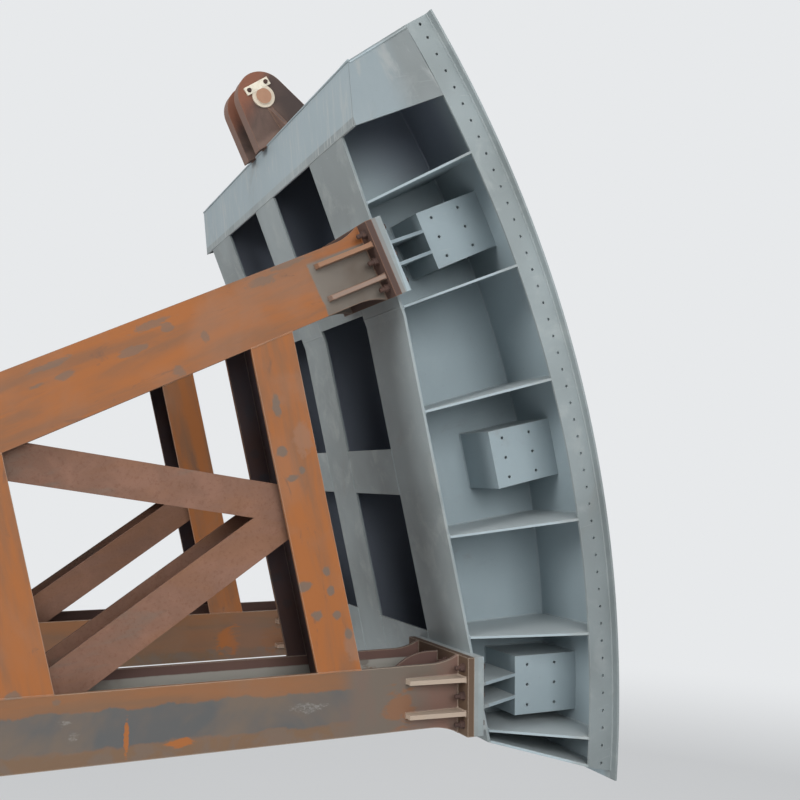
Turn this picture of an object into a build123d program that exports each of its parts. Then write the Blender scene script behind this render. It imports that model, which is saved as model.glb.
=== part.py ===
from build123d import *
from math import atan2, cos, degrees, hypot, radians, sin, sqrt, tan
import os

# Radial gate for passing floating debris: a curved leaf on two arm frames that turn about a trunnion axis.
# Lengths in mm, angles in degrees. It is modelled about the trunnion axis, with x to the leaf,
# y across the leaf from its middle and z up, and moved at the end to the near bracket's back face.
# A line in a side view is (angle of its normal, distance from the trunnion axis).

# Leaf: skin plate
SKIN_R = 6500.0
SKIN_T = 12.0
SKIN_OVERHANG = 50.0
LEAF_HALF = 1980.0
TOP_ANGLE = 37.6
LIP_ANGLE = -2.6

# Leaf: rear face as angles of its normals and depths behind the skin, top box and bottom plate
REAR_LOWER_ANGLE = 14.6
REAR_LOWER_DEPTH = 862.0
REAR_UPPER_ANGLE = 23.5
REAR_UPPER_DEPTH = 784.0
BOX_REAR_ANGLE = 7.6
BOX_FOOT_ANGLE = 34.53
FLOOR_NORMAL_ANGLE = 78.2
FLOOR_ANGLE = -2.21
FLANGE_T = 16.0
PLATE_T = 14.0
BOX_SIDE_INSET = 138.0
BOX_SIDE_DROP = 3.8

# Leaf: bolted side strips
STRIP_WIDTH = 153.0
STRIP_T = 16.0
SEAL_EDGE = 68.0
SEAL_PITCH = 100.0
SEAL_FIRST_PITCH = 80.0
SEAL_HOLE_R = 9.0
SEAL_TOP_MARGIN = 34.0
SEAL_END_MARGIN = 30.0
HOLE_SIDES = 6

# Leaf: vertical girders, from the leaf's side
OUTER_WEB_INSET = 800.0
OUTER_STRIP_INSET = 347.0
OUTER_STRIP_WIDTH = 593.0
MIDDLE_STRIP_HALF = 230.0

# Leaf: horizontal girders, each a rear band below and above its plate, in degrees
UPPER_BAND_LOW_ANGLE = 2.6
UPPER_BAND_HIGH_ANGLE = 1.9
MIDDLE_BAND_LOW_ANGLE = 1.285
MIDDLE_BAND_HIGH_ANGLE = 1.685
LOWER_BAND_HIGH_ANGLE = 2.73

# Leaf: side ribs above and below each roller bracket, in degrees, and shallow skin stiffeners
UPPER_RIB_ANGLES = (3.2, -2.95)
MIDDLE_RIB_ANGLES = (3.775, -3.725)
LOWER_RIB_ANGLES = (3.15, -2.25)
COPE_R = 40.0
COPE_SIDES = 12
STIFFENER_DEPTH = 150.0

# Side roller brackets
ROLLER_FACE_INSET = 405.0
ROLLER_DEPTH = 428.0
ROLLER_HEIGHT = 350.0
ROLLER_FACE_T = 20.0
ROLLER_HOLE_R = 10.0
ROLLER_PATTERN_DEPTH = 248.0
ROLLER_COLUMN = 190.0
ROLLER_ROW = 120.0

# Arm frames
FRAME_INSET = 650.0
ARM_UPPER_ANGLE = 27.5
ARM_LOWER_ANGLE = 1.75
ARM_WIDTH = 360.0
ARM_DEPTH = 600.0
ARM_FLANGE_T = 25.0
ARM_WEB_T = 16.0
ARM_START = 900.0
END_PLATE_DEPTH = 845.0
END_PLATE_T = 40.0
END_PLATE_HEIGHT = 445.0
END_PLATE_MARGIN = 130.0
FLARE_LENGTH = 170.0
END_RIB_OFFSET = 95.0
END_RIB_LENGTH = 330.0
END_RIB_HEIGHT = 110.0
END_RIB_TAIL = 70.0
END_RIB_T = 25.0
WAVE_RIB_LENGTH = 450.0
WAVE_RIB_LEVEL = 70.0
WAVE_RIB_EDGE = 22.0
WAVE_RIB_TAIL = 60.0
WAVE_RIB_T = 20.0
PAD_T = 60.0
PAD_RIB_T = 20.0
PAD_RIB_OFFSET = 65.0
PAD_RIB_INSET = 230.0
MAIN_STRUT_BACK = 805.0
STRUT_SPACING = 1540.0
STRUT_WIDTH = 245.0
BRACE_DEPTH = 420.0
BRACE_FLANGE_T = 16.0
BRACE_WEB_T = 12.0
MID_BRACE_FOOT = 138.0
MID_BRACE_WIDTH = 200.0
DIAGONAL_FOOT = 107.0
DIAGONAL_WIDTH = 210.0

# Trunnions
PIN_R = 100.0
PIN_CLEARANCE = 0.08
PIN_CAP_R = 135.0
PIN_CAP_T = 25.0
HUB_R = 190.0
HUB_PLATE_R = 230.0
CHEEK_GAP = 5.0
CHEEK_T = 60.0
CHEEK_R = 250.0
BRACKET_BACK = 550.0
BASE_T = 60.0
BASE_HALF_WIDTH = 500.0
BASE_HALF_HEIGHT = 430.0
CHEEK_HALF_HEIGHT = 390.0
ANCHOR_Y = 430.0
ANCHOR_Z = 330.0
ANCHOR_HOLE_R = 22.0
BRACKET_RIB_T = 30.0
BRACKET_RIB_TIP = -150.0

# Hoist lug on the top plate, behind the skin's face and above the plate
LUG_PIN_BACK = 337.0
LUG_PIN_HEIGHT = 294.0
LUG_HEAD_R = 174.0
LUG_BASE_BACK = 570.0
LUG_BASE_FRONT = 70.0
LUG_OUTER = 205.0
LUG_CHEEK_T = 110.0
LUG_RIB_T = 25.0
LUG_RIB_FOOT = 120.0
HOIST_PIN_R = 56.0
HOIST_PIN_PROUD = 20.0
HOIST_COLLAR_R = 78.0
HOIST_COLLAR_T = 12.0
KEEPER_SEAT = 50.0
KEEPER_LENGTH = 190.0
KEEPER_HEIGHT = 54.0
KEEPER_T = 14.0

# Worked out from the sizes above
RIGHT = 90.0
SKIN_INNER = SKIN_R - SKIN_T
REAR_LOWER = (REAR_LOWER_ANGLE, SKIN_R - REAR_LOWER_DEPTH)
REAR_UPPER = (REAR_UPPER_ANGLE, SKIN_R - REAR_UPPER_DEPTH)
BOX_FOOT_R = REAR_UPPER[1] / cos(radians(BOX_FOOT_ANGLE - REAR_UPPER_ANGLE))
BOX_REAR = (BOX_REAR_ANGLE, BOX_FOOT_R * cos(radians(BOX_FOOT_ANGLE - BOX_REAR_ANGLE)))
FLOOR = (FLOOR_NORMAL_ANGLE, SKIN_INNER * cos(radians(FLOOR_NORMAL_ANGLE - FLOOR_ANGLE)))
ROOF = (TOP_ANGLE + RIGHT, 0.0)
LIP = (LIP_ANGLE + RIGHT, 0.0)
BOX_SIDE = LEAF_HALF - BOX_SIDE_INSET
STRIP_R = SKIN_INNER - STRIP_WIDTH
SEAL_CIRCLE_R = SKIN_INNER - SEAL_EDGE
OUTER_WEB = LEAF_HALF - OUTER_WEB_INSET
OUTER_STRIP_OUT = LEAF_HALF - OUTER_STRIP_INSET
OUTER_STRIP_IN = OUTER_STRIP_OUT - OUTER_STRIP_WIDTH
BISECTOR_ANGLE = (ARM_UPPER_ANGLE + ARM_LOWER_ANGLE) / 2
ROLLER_ANGLES = (ARM_UPPER_ANGLE, BISECTOR_ANGLE, ARM_LOWER_ANGLE)
RIB_OFFSETS = (UPPER_RIB_ANGLES, MIDDLE_RIB_ANGLES, LOWER_RIB_ANGLES)
RIB_ANGLES = [angle + offset for angle, pair in zip(ROLLER_ANGLES, RIB_OFFSETS) for offset in pair]
ROLLER_FACE = LEAF_HALF - ROLLER_FACE_INSET
ROLLER_INNER_R = SKIN_INNER - ROLLER_DEPTH
ROLLER_PATTERN_R = SKIN_INNER - ROLLER_PATTERN_DEPTH
FRAME_Y = LEAF_HALF - FRAME_INSET
END_PLATE_R = SKIN_R - END_PLATE_DEPTH
END_FACE_R = END_PLATE_R + END_PLATE_T
END_PLATE_HALF = ARM_DEPTH / 2 + END_PLATE_MARGIN
PAD_RIB_EDGE = LEAF_HALF - PAD_RIB_INSET
MAIN_STRUT_R = END_PLATE_R - MAIN_STRUT_BACK
REAR_STRUT_R = MAIN_STRUT_R - STRUT_SPACING
LUG_PIN_R = SKIN_R - LUG_PIN_BACK
WIDE = 2 * SKIN_R


def shift(line, distance):
    return (line[0], line[1] + distance)


def meet(first, second):
    """Point where two lines of the side view cross."""
    a, b = radians(first[0]), radians(second[0])
    x = (first[1] * sin(b) - second[1] * sin(a)) / sin(b - a)
    z = (second[1] * cos(a) - first[1] * cos(b)) / sin(b - a)
    return (x, z)


def on_arc(line, radius):
    """Point where a line crosses a circle about the trunnion axis, on the leaf's side."""
    a = radians(line[0])
    along = sqrt(radius**2 - line[1] ** 2)
    return (line[1] * cos(a) + along * sin(a), line[1] * sin(a) - along * cos(a))


def crossing_angle(line, radius):
    """Angle about the trunnion axis where a line crosses a circle, on the leaf's side."""
    x, z = on_arc(line, radius)
    return degrees(atan2(z, x))


def rear_line(angle):
    """Line of the leaf's rear face at an angle about the trunnion axis."""
    bend_x, bend_z = meet(REAR_LOWER, REAR_UPPER)
    return REAR_UPPER if angle > degrees(atan2(bend_z, bend_x)) else REAR_LOWER


def rear_radius(angle):
    line = rear_line(angle)
    return line[1] / cos(radians(angle - line[0]))


def side_plane(y, angle=0.0):
    a = radians(angle)
    return Plane(origin=(0, y, 0), x_dir=(cos(a), 0, sin(a)), z_dir=(0, -1, 0))


def slab(sketch, y_low, y_high, angle=0.0):
    """Side-view sketch, turned by an angle about the trunnion axis, as a plate between two widths."""
    return extrude(side_plane(y_high, angle) * sketch, y_high - y_low)


def radial_sheet(sketch, angle, thickness, tangent=0.0):
    """Sketch in radius and width, as a plate in the radial plane at an angle."""
    a = radians(angle)
    plane = Plane(origin=(0, 0, 0), x_dir=(cos(a), 0, sin(a)), z_dir=(-sin(a), 0, cos(a)))
    return extrude(plane.offset(tangent) * sketch, thickness / 2, both=True)


def polygon(*points):
    return make_face(Polyline(*points, close=True))


def box_sketch(x_low, x_high, y_low, y_high):
    return Pos((x_low + x_high) / 2, (y_low + y_high) / 2) * Rectangle(x_high - x_low, y_high - y_low)


def arc_band(inner, outer, low, high):
    """Face between two radii and two lines."""
    a, b, c, d = on_arc(low, inner), on_arc(low, outer), on_arc(high, outer), on_arc(high, inner)
    middle = radians((crossing_angle(low, outer) + crossing_angle(high, outer)) / 2)
    bulge_out = (outer * cos(middle), outer * sin(middle))
    bulge_in = (inner * cos(middle), inner * sin(middle))
    arc_out, arc_in = ThreePointArc(b, bulge_out, c), ThreePointArc(d, bulge_in, a)
    return make_face([Line(a, b), arc_out, Line(c, d), arc_in])


def leaf_section():
    """Face inside the leaf: between the rear flanges, the bottom plate, the top plate and the skin."""
    floor, roof = shift(FLOOR, PLATE_T), shift(ROOF, -PLATE_T)
    lower, upper, box = shift(REAR_LOWER, FLANGE_T), shift(REAR_UPPER, FLANGE_T), shift(BOX_REAR, FLANGE_T)
    low_end, high_end = on_arc(floor, SKIN_INNER), on_arc(roof, SKIN_INNER)
    middle = radians((TOP_ANGLE + LIP_ANGLE) / 2)
    bends = [meet(floor, lower), meet(lower, upper), meet(upper, box), meet(box, roof)]
    corners = Polyline(low_end, *bends, high_end)
    bulge = (SKIN_INNER * cos(middle), SKIN_INNER * sin(middle))
    return make_face([*corners.edges(), ThreePointArc(high_end, bulge, low_end)])


def leaf_space():
    return slab(leaf_section(), -LEAF_HALF, LEAF_HALF)


def cross_outline(rear_x, rear_y, strip_x):
    """Outline of a cross plate in radius and width, slanted from each rear corner to the side strip."""
    near = [(0, -rear_y), (rear_x, -rear_y), (strip_x, -LEAF_HALF), (WIDE, -LEAF_HALF)]
    return polygon(*near, *[(r, -y) for r, y in reversed(near)])


def strip_room():
    """Space of both side strips, which the cross plates stop at."""
    ring = arc_band(STRIP_R, SKIN_INNER, FLOOR, ROOF)
    near = slab(ring, -LEAF_HALF, -LEAF_HALF + STRIP_T)
    return near + mirror(near, about=Plane.XZ)


def skin_plate():
    half = LEAF_HALF + SKIN_OVERHANG
    return slab(arc_band(SKIN_INNER, SKIN_R, LIP, ROOF), -half, half)


def seal_holes():
    """Lengths from the strip's top to its seal bolt holes, where the first pitch is shorter."""
    row = radians(TOP_ANGLE - crossing_angle(FLOOR, SEAL_CIRCLE_R)) * SEAL_CIRCLE_R
    second = SEAL_TOP_MARGIN + SEAL_FIRST_PITCH
    count = int((row - SEAL_END_MARGIN - second) / SEAL_PITCH)
    return [SEAL_TOP_MARGIN, *[second + step * SEAL_PITCH for step in range(count + 1)]]


def side_strip():
    """Near side strip with its row of seal bolt holes: the end ones round, the rest with a few flats."""
    strip = arc_band(STRIP_R, SKIN_INNER, FLOOR, ROOF)
    places = seal_holes()
    holes = []
    for down in places:
        a = TOP_ANGLE - degrees(down / SEAL_CIRCLE_R)
        outline = Circle(SEAL_HOLE_R) if down in (places[0], places[-1]) else flat_sided(SEAL_HOLE_R)
        holes.append(Rot(0, 0, a) * Pos(SEAL_CIRCLE_R, 0) * outline)
    return slab(strip - holes, -LEAF_HALF, -LEAF_HALF + STRIP_T)


def flat_sided(radius, sides=HOLE_SIDES):
    """Hole outline with few sides, for a hole that is one of many."""
    return RegularPolygon(radius, sides)


def rear_strip(y_low, y_high):
    """Rear flange of a vertical girder, bent where the rear face bends and mitred at both ends."""
    outer = [meet(FLOOR, REAR_LOWER), meet(REAR_LOWER, REAR_UPPER), meet(REAR_UPPER, BOX_REAR)]
    lower, upper = shift(REAR_LOWER, FLANGE_T), shift(REAR_UPPER, FLANGE_T)
    inner = [meet(shift(FLOOR, PLATE_T), lower), meet(lower, upper), meet(upper, shift(BOX_REAR, FLANGE_T))]
    return slab(polygon(*outer, *reversed(inner)), y_low, y_high)


def girder_web(y_low, y_high):
    return slab(leaf_section(), y_low, y_high)


def outer_girder():
    web = girder_web(-OUTER_WEB, -OUTER_WEB + PLATE_T)
    return web + rear_strip(-OUTER_STRIP_OUT, -OUTER_STRIP_IN)


def middle_girder():
    web = girder_web(-PLATE_T / 2, PLATE_T / 2)
    return web + rear_strip(-MIDDLE_STRIP_HALF, MIDDLE_STRIP_HALF)


def bay_widths():
    """The two bays between the girders' rear strips, and between their webs."""
    strips = [(-OUTER_STRIP_IN, -MIDDLE_STRIP_HALF), (MIDDLE_STRIP_HALF, OUTER_STRIP_IN)]
    webs = [(-OUTER_WEB + PLATE_T, -PLATE_T / 2), (PLATE_T / 2, OUTER_WEB - PLATE_T)]
    return strips, webs


def band_sketch(low, low_in, high):
    """Side view of a rear band between two lines, in the thickness of the rear flanges."""
    line = rear_line(high[0] - RIGHT)
    inner = shift(line, FLANGE_T)
    return polygon(meet(low, line), meet(high, line), meet(high, inner), meet(low_in, inner))


def radial_line(angle):
    return (angle + RIGHT, 0.0)


def horizontal_girder(low, low_in, high, plate_angle, space):
    """Rear band across both bays, with a plate to the skin behind its middle."""
    strips, webs = bay_widths()
    girder = []
    for strip, web in zip(strips, webs):
        band = slab(band_sketch(low, low_in, high), *strip)
        plate = radial_sheet(box_sketch(SKIN_R / 2, WIDE, *web), plate_angle, PLATE_T) & space
        girder.append(band + plate)
    return Compound(girder)


def top_box():
    """Top plate, rear band and the two slanted sides that run out to the side strips."""
    low, roof = shift(BOX_REAR, FLANGE_T), shift(ROOF, -PLATE_T)
    top_rear, top_rear_in = meet(BOX_REAR, ROOF), meet(low, roof)
    profile = polygon(top_rear, on_arc(ROOF, SKIN_INNER), on_arc(roof, SKIN_INNER), top_rear_in)
    plan = cross_outline(hypot(*top_rear), BOX_SIDE, STRIP_R)
    plate = slab(profile, -LEAF_HALF, LEAF_HALF) & radial_sheet(plan, TOP_ANGLE, 4 * PLATE_T)
    plate -= strip_room()
    foot, foot_in = meet(REAR_UPPER, BOX_REAR), meet(shift(REAR_UPPER, FLANGE_T), low)
    band = slab(polygon(foot, top_rear, top_rear_in, foot_in), -BOX_SIDE, BOX_SIDE)
    side = box_side(foot, foot_in)
    return plate + band + side + mirror(side, about=Plane.XZ)


def box_side(foot, foot_in):
    """Slanted side plate, ruled from the rear band's end to the side strip's inner edge."""
    roof = shift(ROOF, -PLATE_T)
    head, head_in = meet(BOX_REAR, roof), meet(shift(BOX_REAR, FLANGE_T), roof)
    start = Wire.make_polygon([(p[0], -BOX_SIDE, p[1]) for p in (foot, head, head_in, foot_in)], close=True)
    low, high = on_arc(radial_line(TOP_ANGLE - BOX_SIDE_DROP), STRIP_R), on_arc(roof, STRIP_R)
    out, inn = -LEAF_HALF, -LEAF_HALF + STRIP_T
    ends = [(low[0], out, low[1]), (high[0], out, high[1]), (high[0], inn, high[1]), (low[0], inn, low[1])]
    return Solid.make_loft([start, Wire.make_polygon(ends, close=True)], ruled=True)


def bottom_plate():
    floor = shift(FLOOR, PLATE_T)
    rear, rear_in = meet(FLOOR, REAR_LOWER), meet(floor, shift(REAR_LOWER, FLANGE_T))
    profile = polygon(rear, rear_in, on_arc(floor, SKIN_INNER), on_arc(FLOOR, SKIN_INNER))
    rear_x = sqrt(hypot(*rear) ** 2 - FLOOR[1] ** 2)
    plan = cross_outline(rear_x, OUTER_STRIP_OUT, sqrt(STRIP_R**2 - FLOOR[1] ** 2))
    trim = radial_sheet(plan, FLOOR[0] - RIGHT, 4 * PLATE_T, FLOOR[1])
    return (slab(profile, -LEAF_HALF, LEAF_HALF) & trim) - strip_room()


def side_ribs(space):
    """Ribs of the near side pocket, each with a cope at the corner of web and skin."""
    ribs = []
    room = strip_room()
    for angle in RIB_ANGLES:
        edge = [(rear_radius(angle), -OUTER_STRIP_OUT), (STRIP_R, -LEAF_HALF), (WIDE, -LEAF_HALF)]
        inner = [(WIDE, -OUTER_WEB), (SKIN_R / 2, -OUTER_WEB), (SKIN_R / 2, -OUTER_STRIP_OUT)]
        outline = polygon(*edge, *inner)
        cope = Pos(SKIN_INNER, -OUTER_WEB) * flat_sided(COPE_R, COPE_SIDES)
        ribs.append((radial_sheet(outline - cope, angle, PLATE_T) & space) - room)
    return Compound(ribs)


def bay_stiffeners(space):
    """Shallow flat bars on the skin in both bays, in line with the side ribs."""
    bars = []
    for angle in RIB_ANGLES:
        for web in bay_widths()[1]:
            sketch = box_sketch(SKIN_INNER - STIFFENER_DEPTH, SKIN_R, *web)
            bars.append(radial_sheet(sketch, angle, PLATE_T) & space)
    return Compound(bars)


def roller_bracket(angle, space):
    """Box in the near side pocket, with the bolt pattern of a side guide roller on its face."""
    half = ROLLER_HEIGHT / 2
    wall = PLATE_T
    outer = slab(box_sketch(ROLLER_INNER_R, SKIN_R, -half, half), -ROLLER_FACE, -OUTER_WEB, angle)
    hollow = box_sketch(ROLLER_INNER_R + wall, WIDE, -half + wall, half - wall)
    inner = slab(hollow, -ROLLER_FACE + ROLLER_FACE_T, -OUTER_WEB, angle)
    holes = Sketch() + [
        Pos(ROLLER_PATTERN_R + column * ROLLER_COLUMN / 2, row * ROLLER_ROW) * flat_sided(ROLLER_HOLE_R)
        for column in (-1, 1)
        for row in (-1, 0, 1)
    ]
    drilled = slab(holes, -ROLLER_FACE, -ROLLER_FACE + ROLLER_FACE_T, angle)
    return (outer - inner - drilled) & space


def roller_brackets(space):
    return Compound([roller_bracket(angle, space) for angle in ROLLER_ANGLES])


def before_rear(inwards):
    """Side view of everything on the trunnions' side of the leaf's rear face."""
    lower, upper = shift(REAR_LOWER, inwards), shift(REAR_UPPER, inwards)
    return polygon((0, -SKIN_R), meet(FLOOR, lower), meet(lower, upper), meet(upper, ROOF), (0, SKIN_R))


def arm_pad(angle):
    """Seat of an arm's end plate on the near side: packer on the rear face, and two pocket ribs."""
    half = END_PLATE_HEIGHT / 2
    y_low, y_high = -FRAME_Y - END_PLATE_HALF, -FRAME_Y + END_PLATE_HALF
    back = END_FACE_R + PAD_T
    plate = slab(box_sketch(END_FACE_R, back, -half, half), y_low, -OUTER_STRIP_OUT, angle)
    deep = slab(box_sketch(END_FACE_R, SKIN_R, -half, half), -OUTER_STRIP_OUT, y_high, angle)
    packer = deep & slab(before_rear(0), -OUTER_STRIP_OUT, y_high)
    front = slab(before_rear(FLANGE_T), -OUTER_STRIP_OUT, y_high)
    near = [(back, -OUTER_STRIP_OUT), (back, -PAD_RIB_EDGE), (ROLLER_INNER_R, -ROLLER_FACE)]
    far = [(ROLLER_INNER_R, -OUTER_WEB), (END_FACE_R, -OUTER_WEB), (END_FACE_R, -OUTER_STRIP_OUT)]
    rib = polygon(*near, *far)
    ribs = [radial_sheet(rib, angle, PAD_RIB_T, side * PAD_RIB_OFFSET) - front for side in (-1, 1)]
    return plate + packer + ribs


def beam(start, end, across, width, depth, flange_t, web_t, angle):
    """H-section with its flanges in the side planes, along a direction of the side view."""
    outer, inner = depth / 2, depth / 2 - flange_t
    flange = box_sketch(start, end, across - width / 2, across + width / 2)
    flanges = slab(flange, inner, outer, angle), slab(flange, -outer, -inner, angle)
    web = box_sketch(start, end, across - web_t / 2, across + web_t / 2)
    return *flanges, slab(web, -inner, inner, angle)


def arm_flange():
    """Arm flange in the side view, whose edges curve out to the end plate's height."""
    narrow, wide = ARM_WIDTH / 2, END_PLATE_HEIGHT / 2
    start = END_PLATE_R - FLARE_LENGTH
    low = TangentArc((start, -narrow), (END_PLATE_R, -wide), tangent=(1, 0))
    high = TangentArc((start, narrow), (END_PLATE_R, wide), tangent=(1, 0))
    back = Polyline((start, narrow), (ARM_START, narrow), (ARM_START, -narrow), (start, -narrow))
    return make_face([*back.edges(), low, Line((END_PLATE_R, -wide), (END_PLATE_R, wide)), high])


def end_ribs(angle):
    """Two tapered ribs outside the near flange, from the end plate back along the arm."""
    face = ARM_DEPTH / 2
    tail = END_PLATE_R - END_RIB_LENGTH
    deep = [(END_PLATE_R, -face), (END_PLATE_R, -face - END_RIB_HEIGHT)]
    outline = polygon(*deep, (tail, -face - END_RIB_TAIL), (tail, -face))
    return [radial_sheet(outline, angle, END_RIB_T, side * END_RIB_OFFSET) for side in (-1, 1)]


def wave_rib(angle):
    """Rib above the web at the end plate, with its top edge falling in an S to its tail."""
    top, tail = END_PLATE_HEIGHT / 2 - WAVE_RIB_EDGE, WAVE_RIB_TAIL
    level, end = END_PLATE_R - WAVE_RIB_LEVEL, END_PLATE_R - WAVE_RIB_LENGTH
    middle = ((level + end) / 2, (top + tail) / 2)
    foot = ARM_WEB_T / 2
    edge = [
        Line((END_PLATE_R, foot), (END_PLATE_R, top)),
        Line((END_PLATE_R, top), (level, top)),
        TangentArc((level, top), middle, tangent=(-1, 0)),
        TangentArc((end, tail), middle, tangent=(1, 0)),
        Line((end, tail), (end, foot)),
        Line((end, foot), (END_PLATE_R, foot)),
    ]
    return slab(make_face(edge), -WAVE_RIB_T / 2, WAVE_RIB_T / 2, angle)


def arm(angle):
    """Arm from the hub to its end plate at the leaf, with the plate's ribs."""
    outer, inner = ARM_DEPTH / 2, ARM_DEPTH / 2 - ARM_FLANGE_T
    web = slab(box_sketch(ARM_START, END_PLATE_R, -ARM_WEB_T / 2, ARM_WEB_T / 2), -inner, inner, angle)
    flanges = slab(arm_flange(), inner, outer, angle) + slab(arm_flange(), -outer, -inner, angle)
    half = END_PLATE_HEIGHT / 2
    plate = slab(box_sketch(END_PLATE_R, END_FACE_R, -half, half), -END_PLATE_HALF, END_PLATE_HALF, angle)
    near_ribs = end_ribs(angle)
    far_ribs = [mirror(rib, about=Plane.XZ) for rib in near_ribs]
    return web + flanges + plate + [*near_ribs, *far_ribs, wave_rib(angle)]


def arm_line(angle, offset):
    return (angle + RIGHT, offset)


def strut_foot(distance, angle, inset):
    """Point on a strut's middle line, so far inside an arm's middle line."""
    side = 1 if angle > BISECTOR_ANGLE else -1
    off = side * (distance * tan(radians(abs(angle - BISECTOR_ANGLE))) - inset)
    a = radians(BISECTOR_ANGLE)
    return (distance * cos(a) - off * sin(a), distance * sin(a) + off * cos(a))


def line_through(start, end):
    """Line of the side view through two points."""
    normal = atan2(end[1] - start[1], end[0] - start[0]) - radians(RIGHT)
    return (degrees(normal), start[0] * cos(normal) + start[1] * sin(normal))


def brace_lines():
    """Middle lines of the mid brace and the diagonal, from the main strut's middle to the rear strut."""
    a = radians(BISECTOR_ANGLE)
    apex = (MAIN_STRUT_R * cos(a), MAIN_STRUT_R * sin(a))
    upper = strut_foot(REAR_STRUT_R, ARM_UPPER_ANGLE, MID_BRACE_FOOT)
    lower = strut_foot(REAR_STRUT_R, ARM_LOWER_ANGLE, DIAGONAL_FOOT)
    return line_through(apex, upper), line_through(apex, lower)


def strut(distance):
    """Strut square to the arms' bisector: flanges between the arms' flanges, web between their webs."""
    section = (STRUT_WIDTH, ARM_DEPTH, ARM_FLANGE_T, ARM_WEB_T)
    flange_a, flange_b, web = beam(-SKIN_R / 2, SKIN_R / 2, -distance, *section, BISECTOR_ANGLE + RIGHT)
    far_side = (BISECTOR_ANGLE, SKIN_R)
    gaps = []
    for half in (ARM_WIDTH / 2, ARM_WEB_T / 2):
        upper, lower = arm_line(ARM_UPPER_ANGLE, -half), arm_line(ARM_LOWER_ANGLE, half)
        wedge = polygon(meet(upper, lower), meet(upper, far_side), meet(lower, far_side))
        gaps.append(slab(wedge, -ARM_DEPTH, ARM_DEPTH))
    return (web & gaps[1]) + ((flange_a + flange_b) & gaps[0])


def brace(line, width, corners):
    """Brace along a line of the side view, trimmed to a face given by its corners."""
    parts = beam(-SKIN_R, SKIN_R, line[1], width, BRACE_DEPTH, BRACE_FLANGE_T, BRACE_WEB_T, line[0] - RIGHT)
    room = slab(polygon(*corners), -ARM_DEPTH, ARM_DEPTH)
    return (parts[2] + parts[0] + parts[1]) & room


def truss_lines():
    """Faces of the four webs that the braces meet."""
    half = ARM_WEB_T / 2
    main, rear = (BISECTOR_ANGLE, MAIN_STRUT_R - half), (BISECTOR_ANGLE, REAR_STRUT_R + half)
    return main, rear, arm_line(ARM_UPPER_ANGLE, -half), arm_line(ARM_LOWER_ANGLE, half)


def mid_brace():
    main, rear, upper, lower = truss_lines()
    corners = [meet(main, lower), meet(main, upper), meet(upper, rear), meet(rear, lower)]
    return brace(brace_lines()[0], MID_BRACE_WIDTH, corners)


def diagonal_brace():
    main, rear, _, lower = truss_lines()
    mid, diagonal = brace_lines()
    under = shift(mid, -MID_BRACE_WIDTH / 2)
    corners = [meet(main, lower), meet(main, under), meet(under, rear), meet(rear, lower)]
    return brace(diagonal, DIAGONAL_WIDTH, corners)


def trunnion_hub():
    """Bored boss with two fan plates in line with the arms' flanges, and webs in line with their webs."""
    bore = PIN_R + PIN_CLEARANCE
    outer, inner = ARM_DEPTH / 2, ARM_DEPTH / 2 - ARM_FLANGE_T
    outline = Sketch() + Circle(HUB_PLATE_R)
    webs = Sketch()
    for angle in (ARM_UPPER_ANGLE, ARM_LOWER_ANGLE):
        outline += Rot(0, 0, angle) * arm_stub_outline()
        webs += Rot(0, 0, angle) * box_sketch(0, ARM_START, -ARM_WEB_T / 2, ARM_WEB_T / 2)
    fans = slab(outline, inner, outer) + slab(outline, -outer, -inner)
    hub = fans + slab(Circle(HUB_R), -outer, outer) + slab(webs, -inner, inner)
    return hub - slab(Circle(bore), -outer, outer)


def arm_stub_outline():
    """Tapered stub from the hub plate's circle to the arm's start."""
    half = ARM_WIDTH / 2
    edges = [*Circle(HUB_PLATE_R).edges(), Line((ARM_START, -half), (ARM_START, half))]
    return make_hull(edges)


def trunnion_pin():
    """Fixed pin with a cap on each end, outside the bracket's cheeks."""
    cheek_out = ARM_DEPTH / 2 + CHEEK_GAP + CHEEK_T
    pin = slab(Circle(PIN_R), -cheek_out, cheek_out)
    cap = Circle(PIN_CAP_R)
    return pin + slab(cap, cheek_out, cheek_out + PIN_CAP_T) + slab(cap, -cheek_out - PIN_CAP_T, -cheek_out)


def trunnion_bracket():
    """Base plate with anchor holes, two bored cheeks and a rib outside each cheek."""
    front = -BRACKET_BACK + BASE_T
    cheek_in = ARM_DEPTH / 2 + CHEEK_GAP
    cheek_out = cheek_in + CHEEK_T
    side_view = box_sketch(-BRACKET_BACK, front, -BASE_HALF_HEIGHT, BASE_HALF_HEIGHT)
    base = slab(side_view, -BASE_HALF_WIDTH, BASE_HALF_WIDTH)
    edges = [*Circle(CHEEK_R).edges(), Line((front, -CHEEK_HALF_HEIGHT), (front, CHEEK_HALF_HEIGHT))]
    cheek = make_hull(edges) - Circle(PIN_R)
    rib = polygon((front, cheek_out), (front, ANCHOR_Y), (BRACKET_RIB_TIP - PIN_CAP_R, cheek_out))
    bracket = base
    for side in (-1, 1):
        low, high = sorted((side * cheek_in, side * cheek_out))
        bracket += slab(cheek, low, high)
    plate = radial_sheet(rib, 0, BRACKET_RIB_T)
    bracket += [plate, mirror(plate, about=Plane.XZ)]
    anchors = Sketch() + GridLocations(2 * ANCHOR_Y, 2 * ANCHOR_Z, 2, 2) * Circle(ANCHOR_HOLE_R)
    return bracket - extrude(Plane.YZ.offset(-BRACKET_BACK) * anchors, BASE_T)


def lug_slab(sketch, y_low, y_high):
    return slab(sketch, y_low, y_high, TOP_ANGLE)


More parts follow.
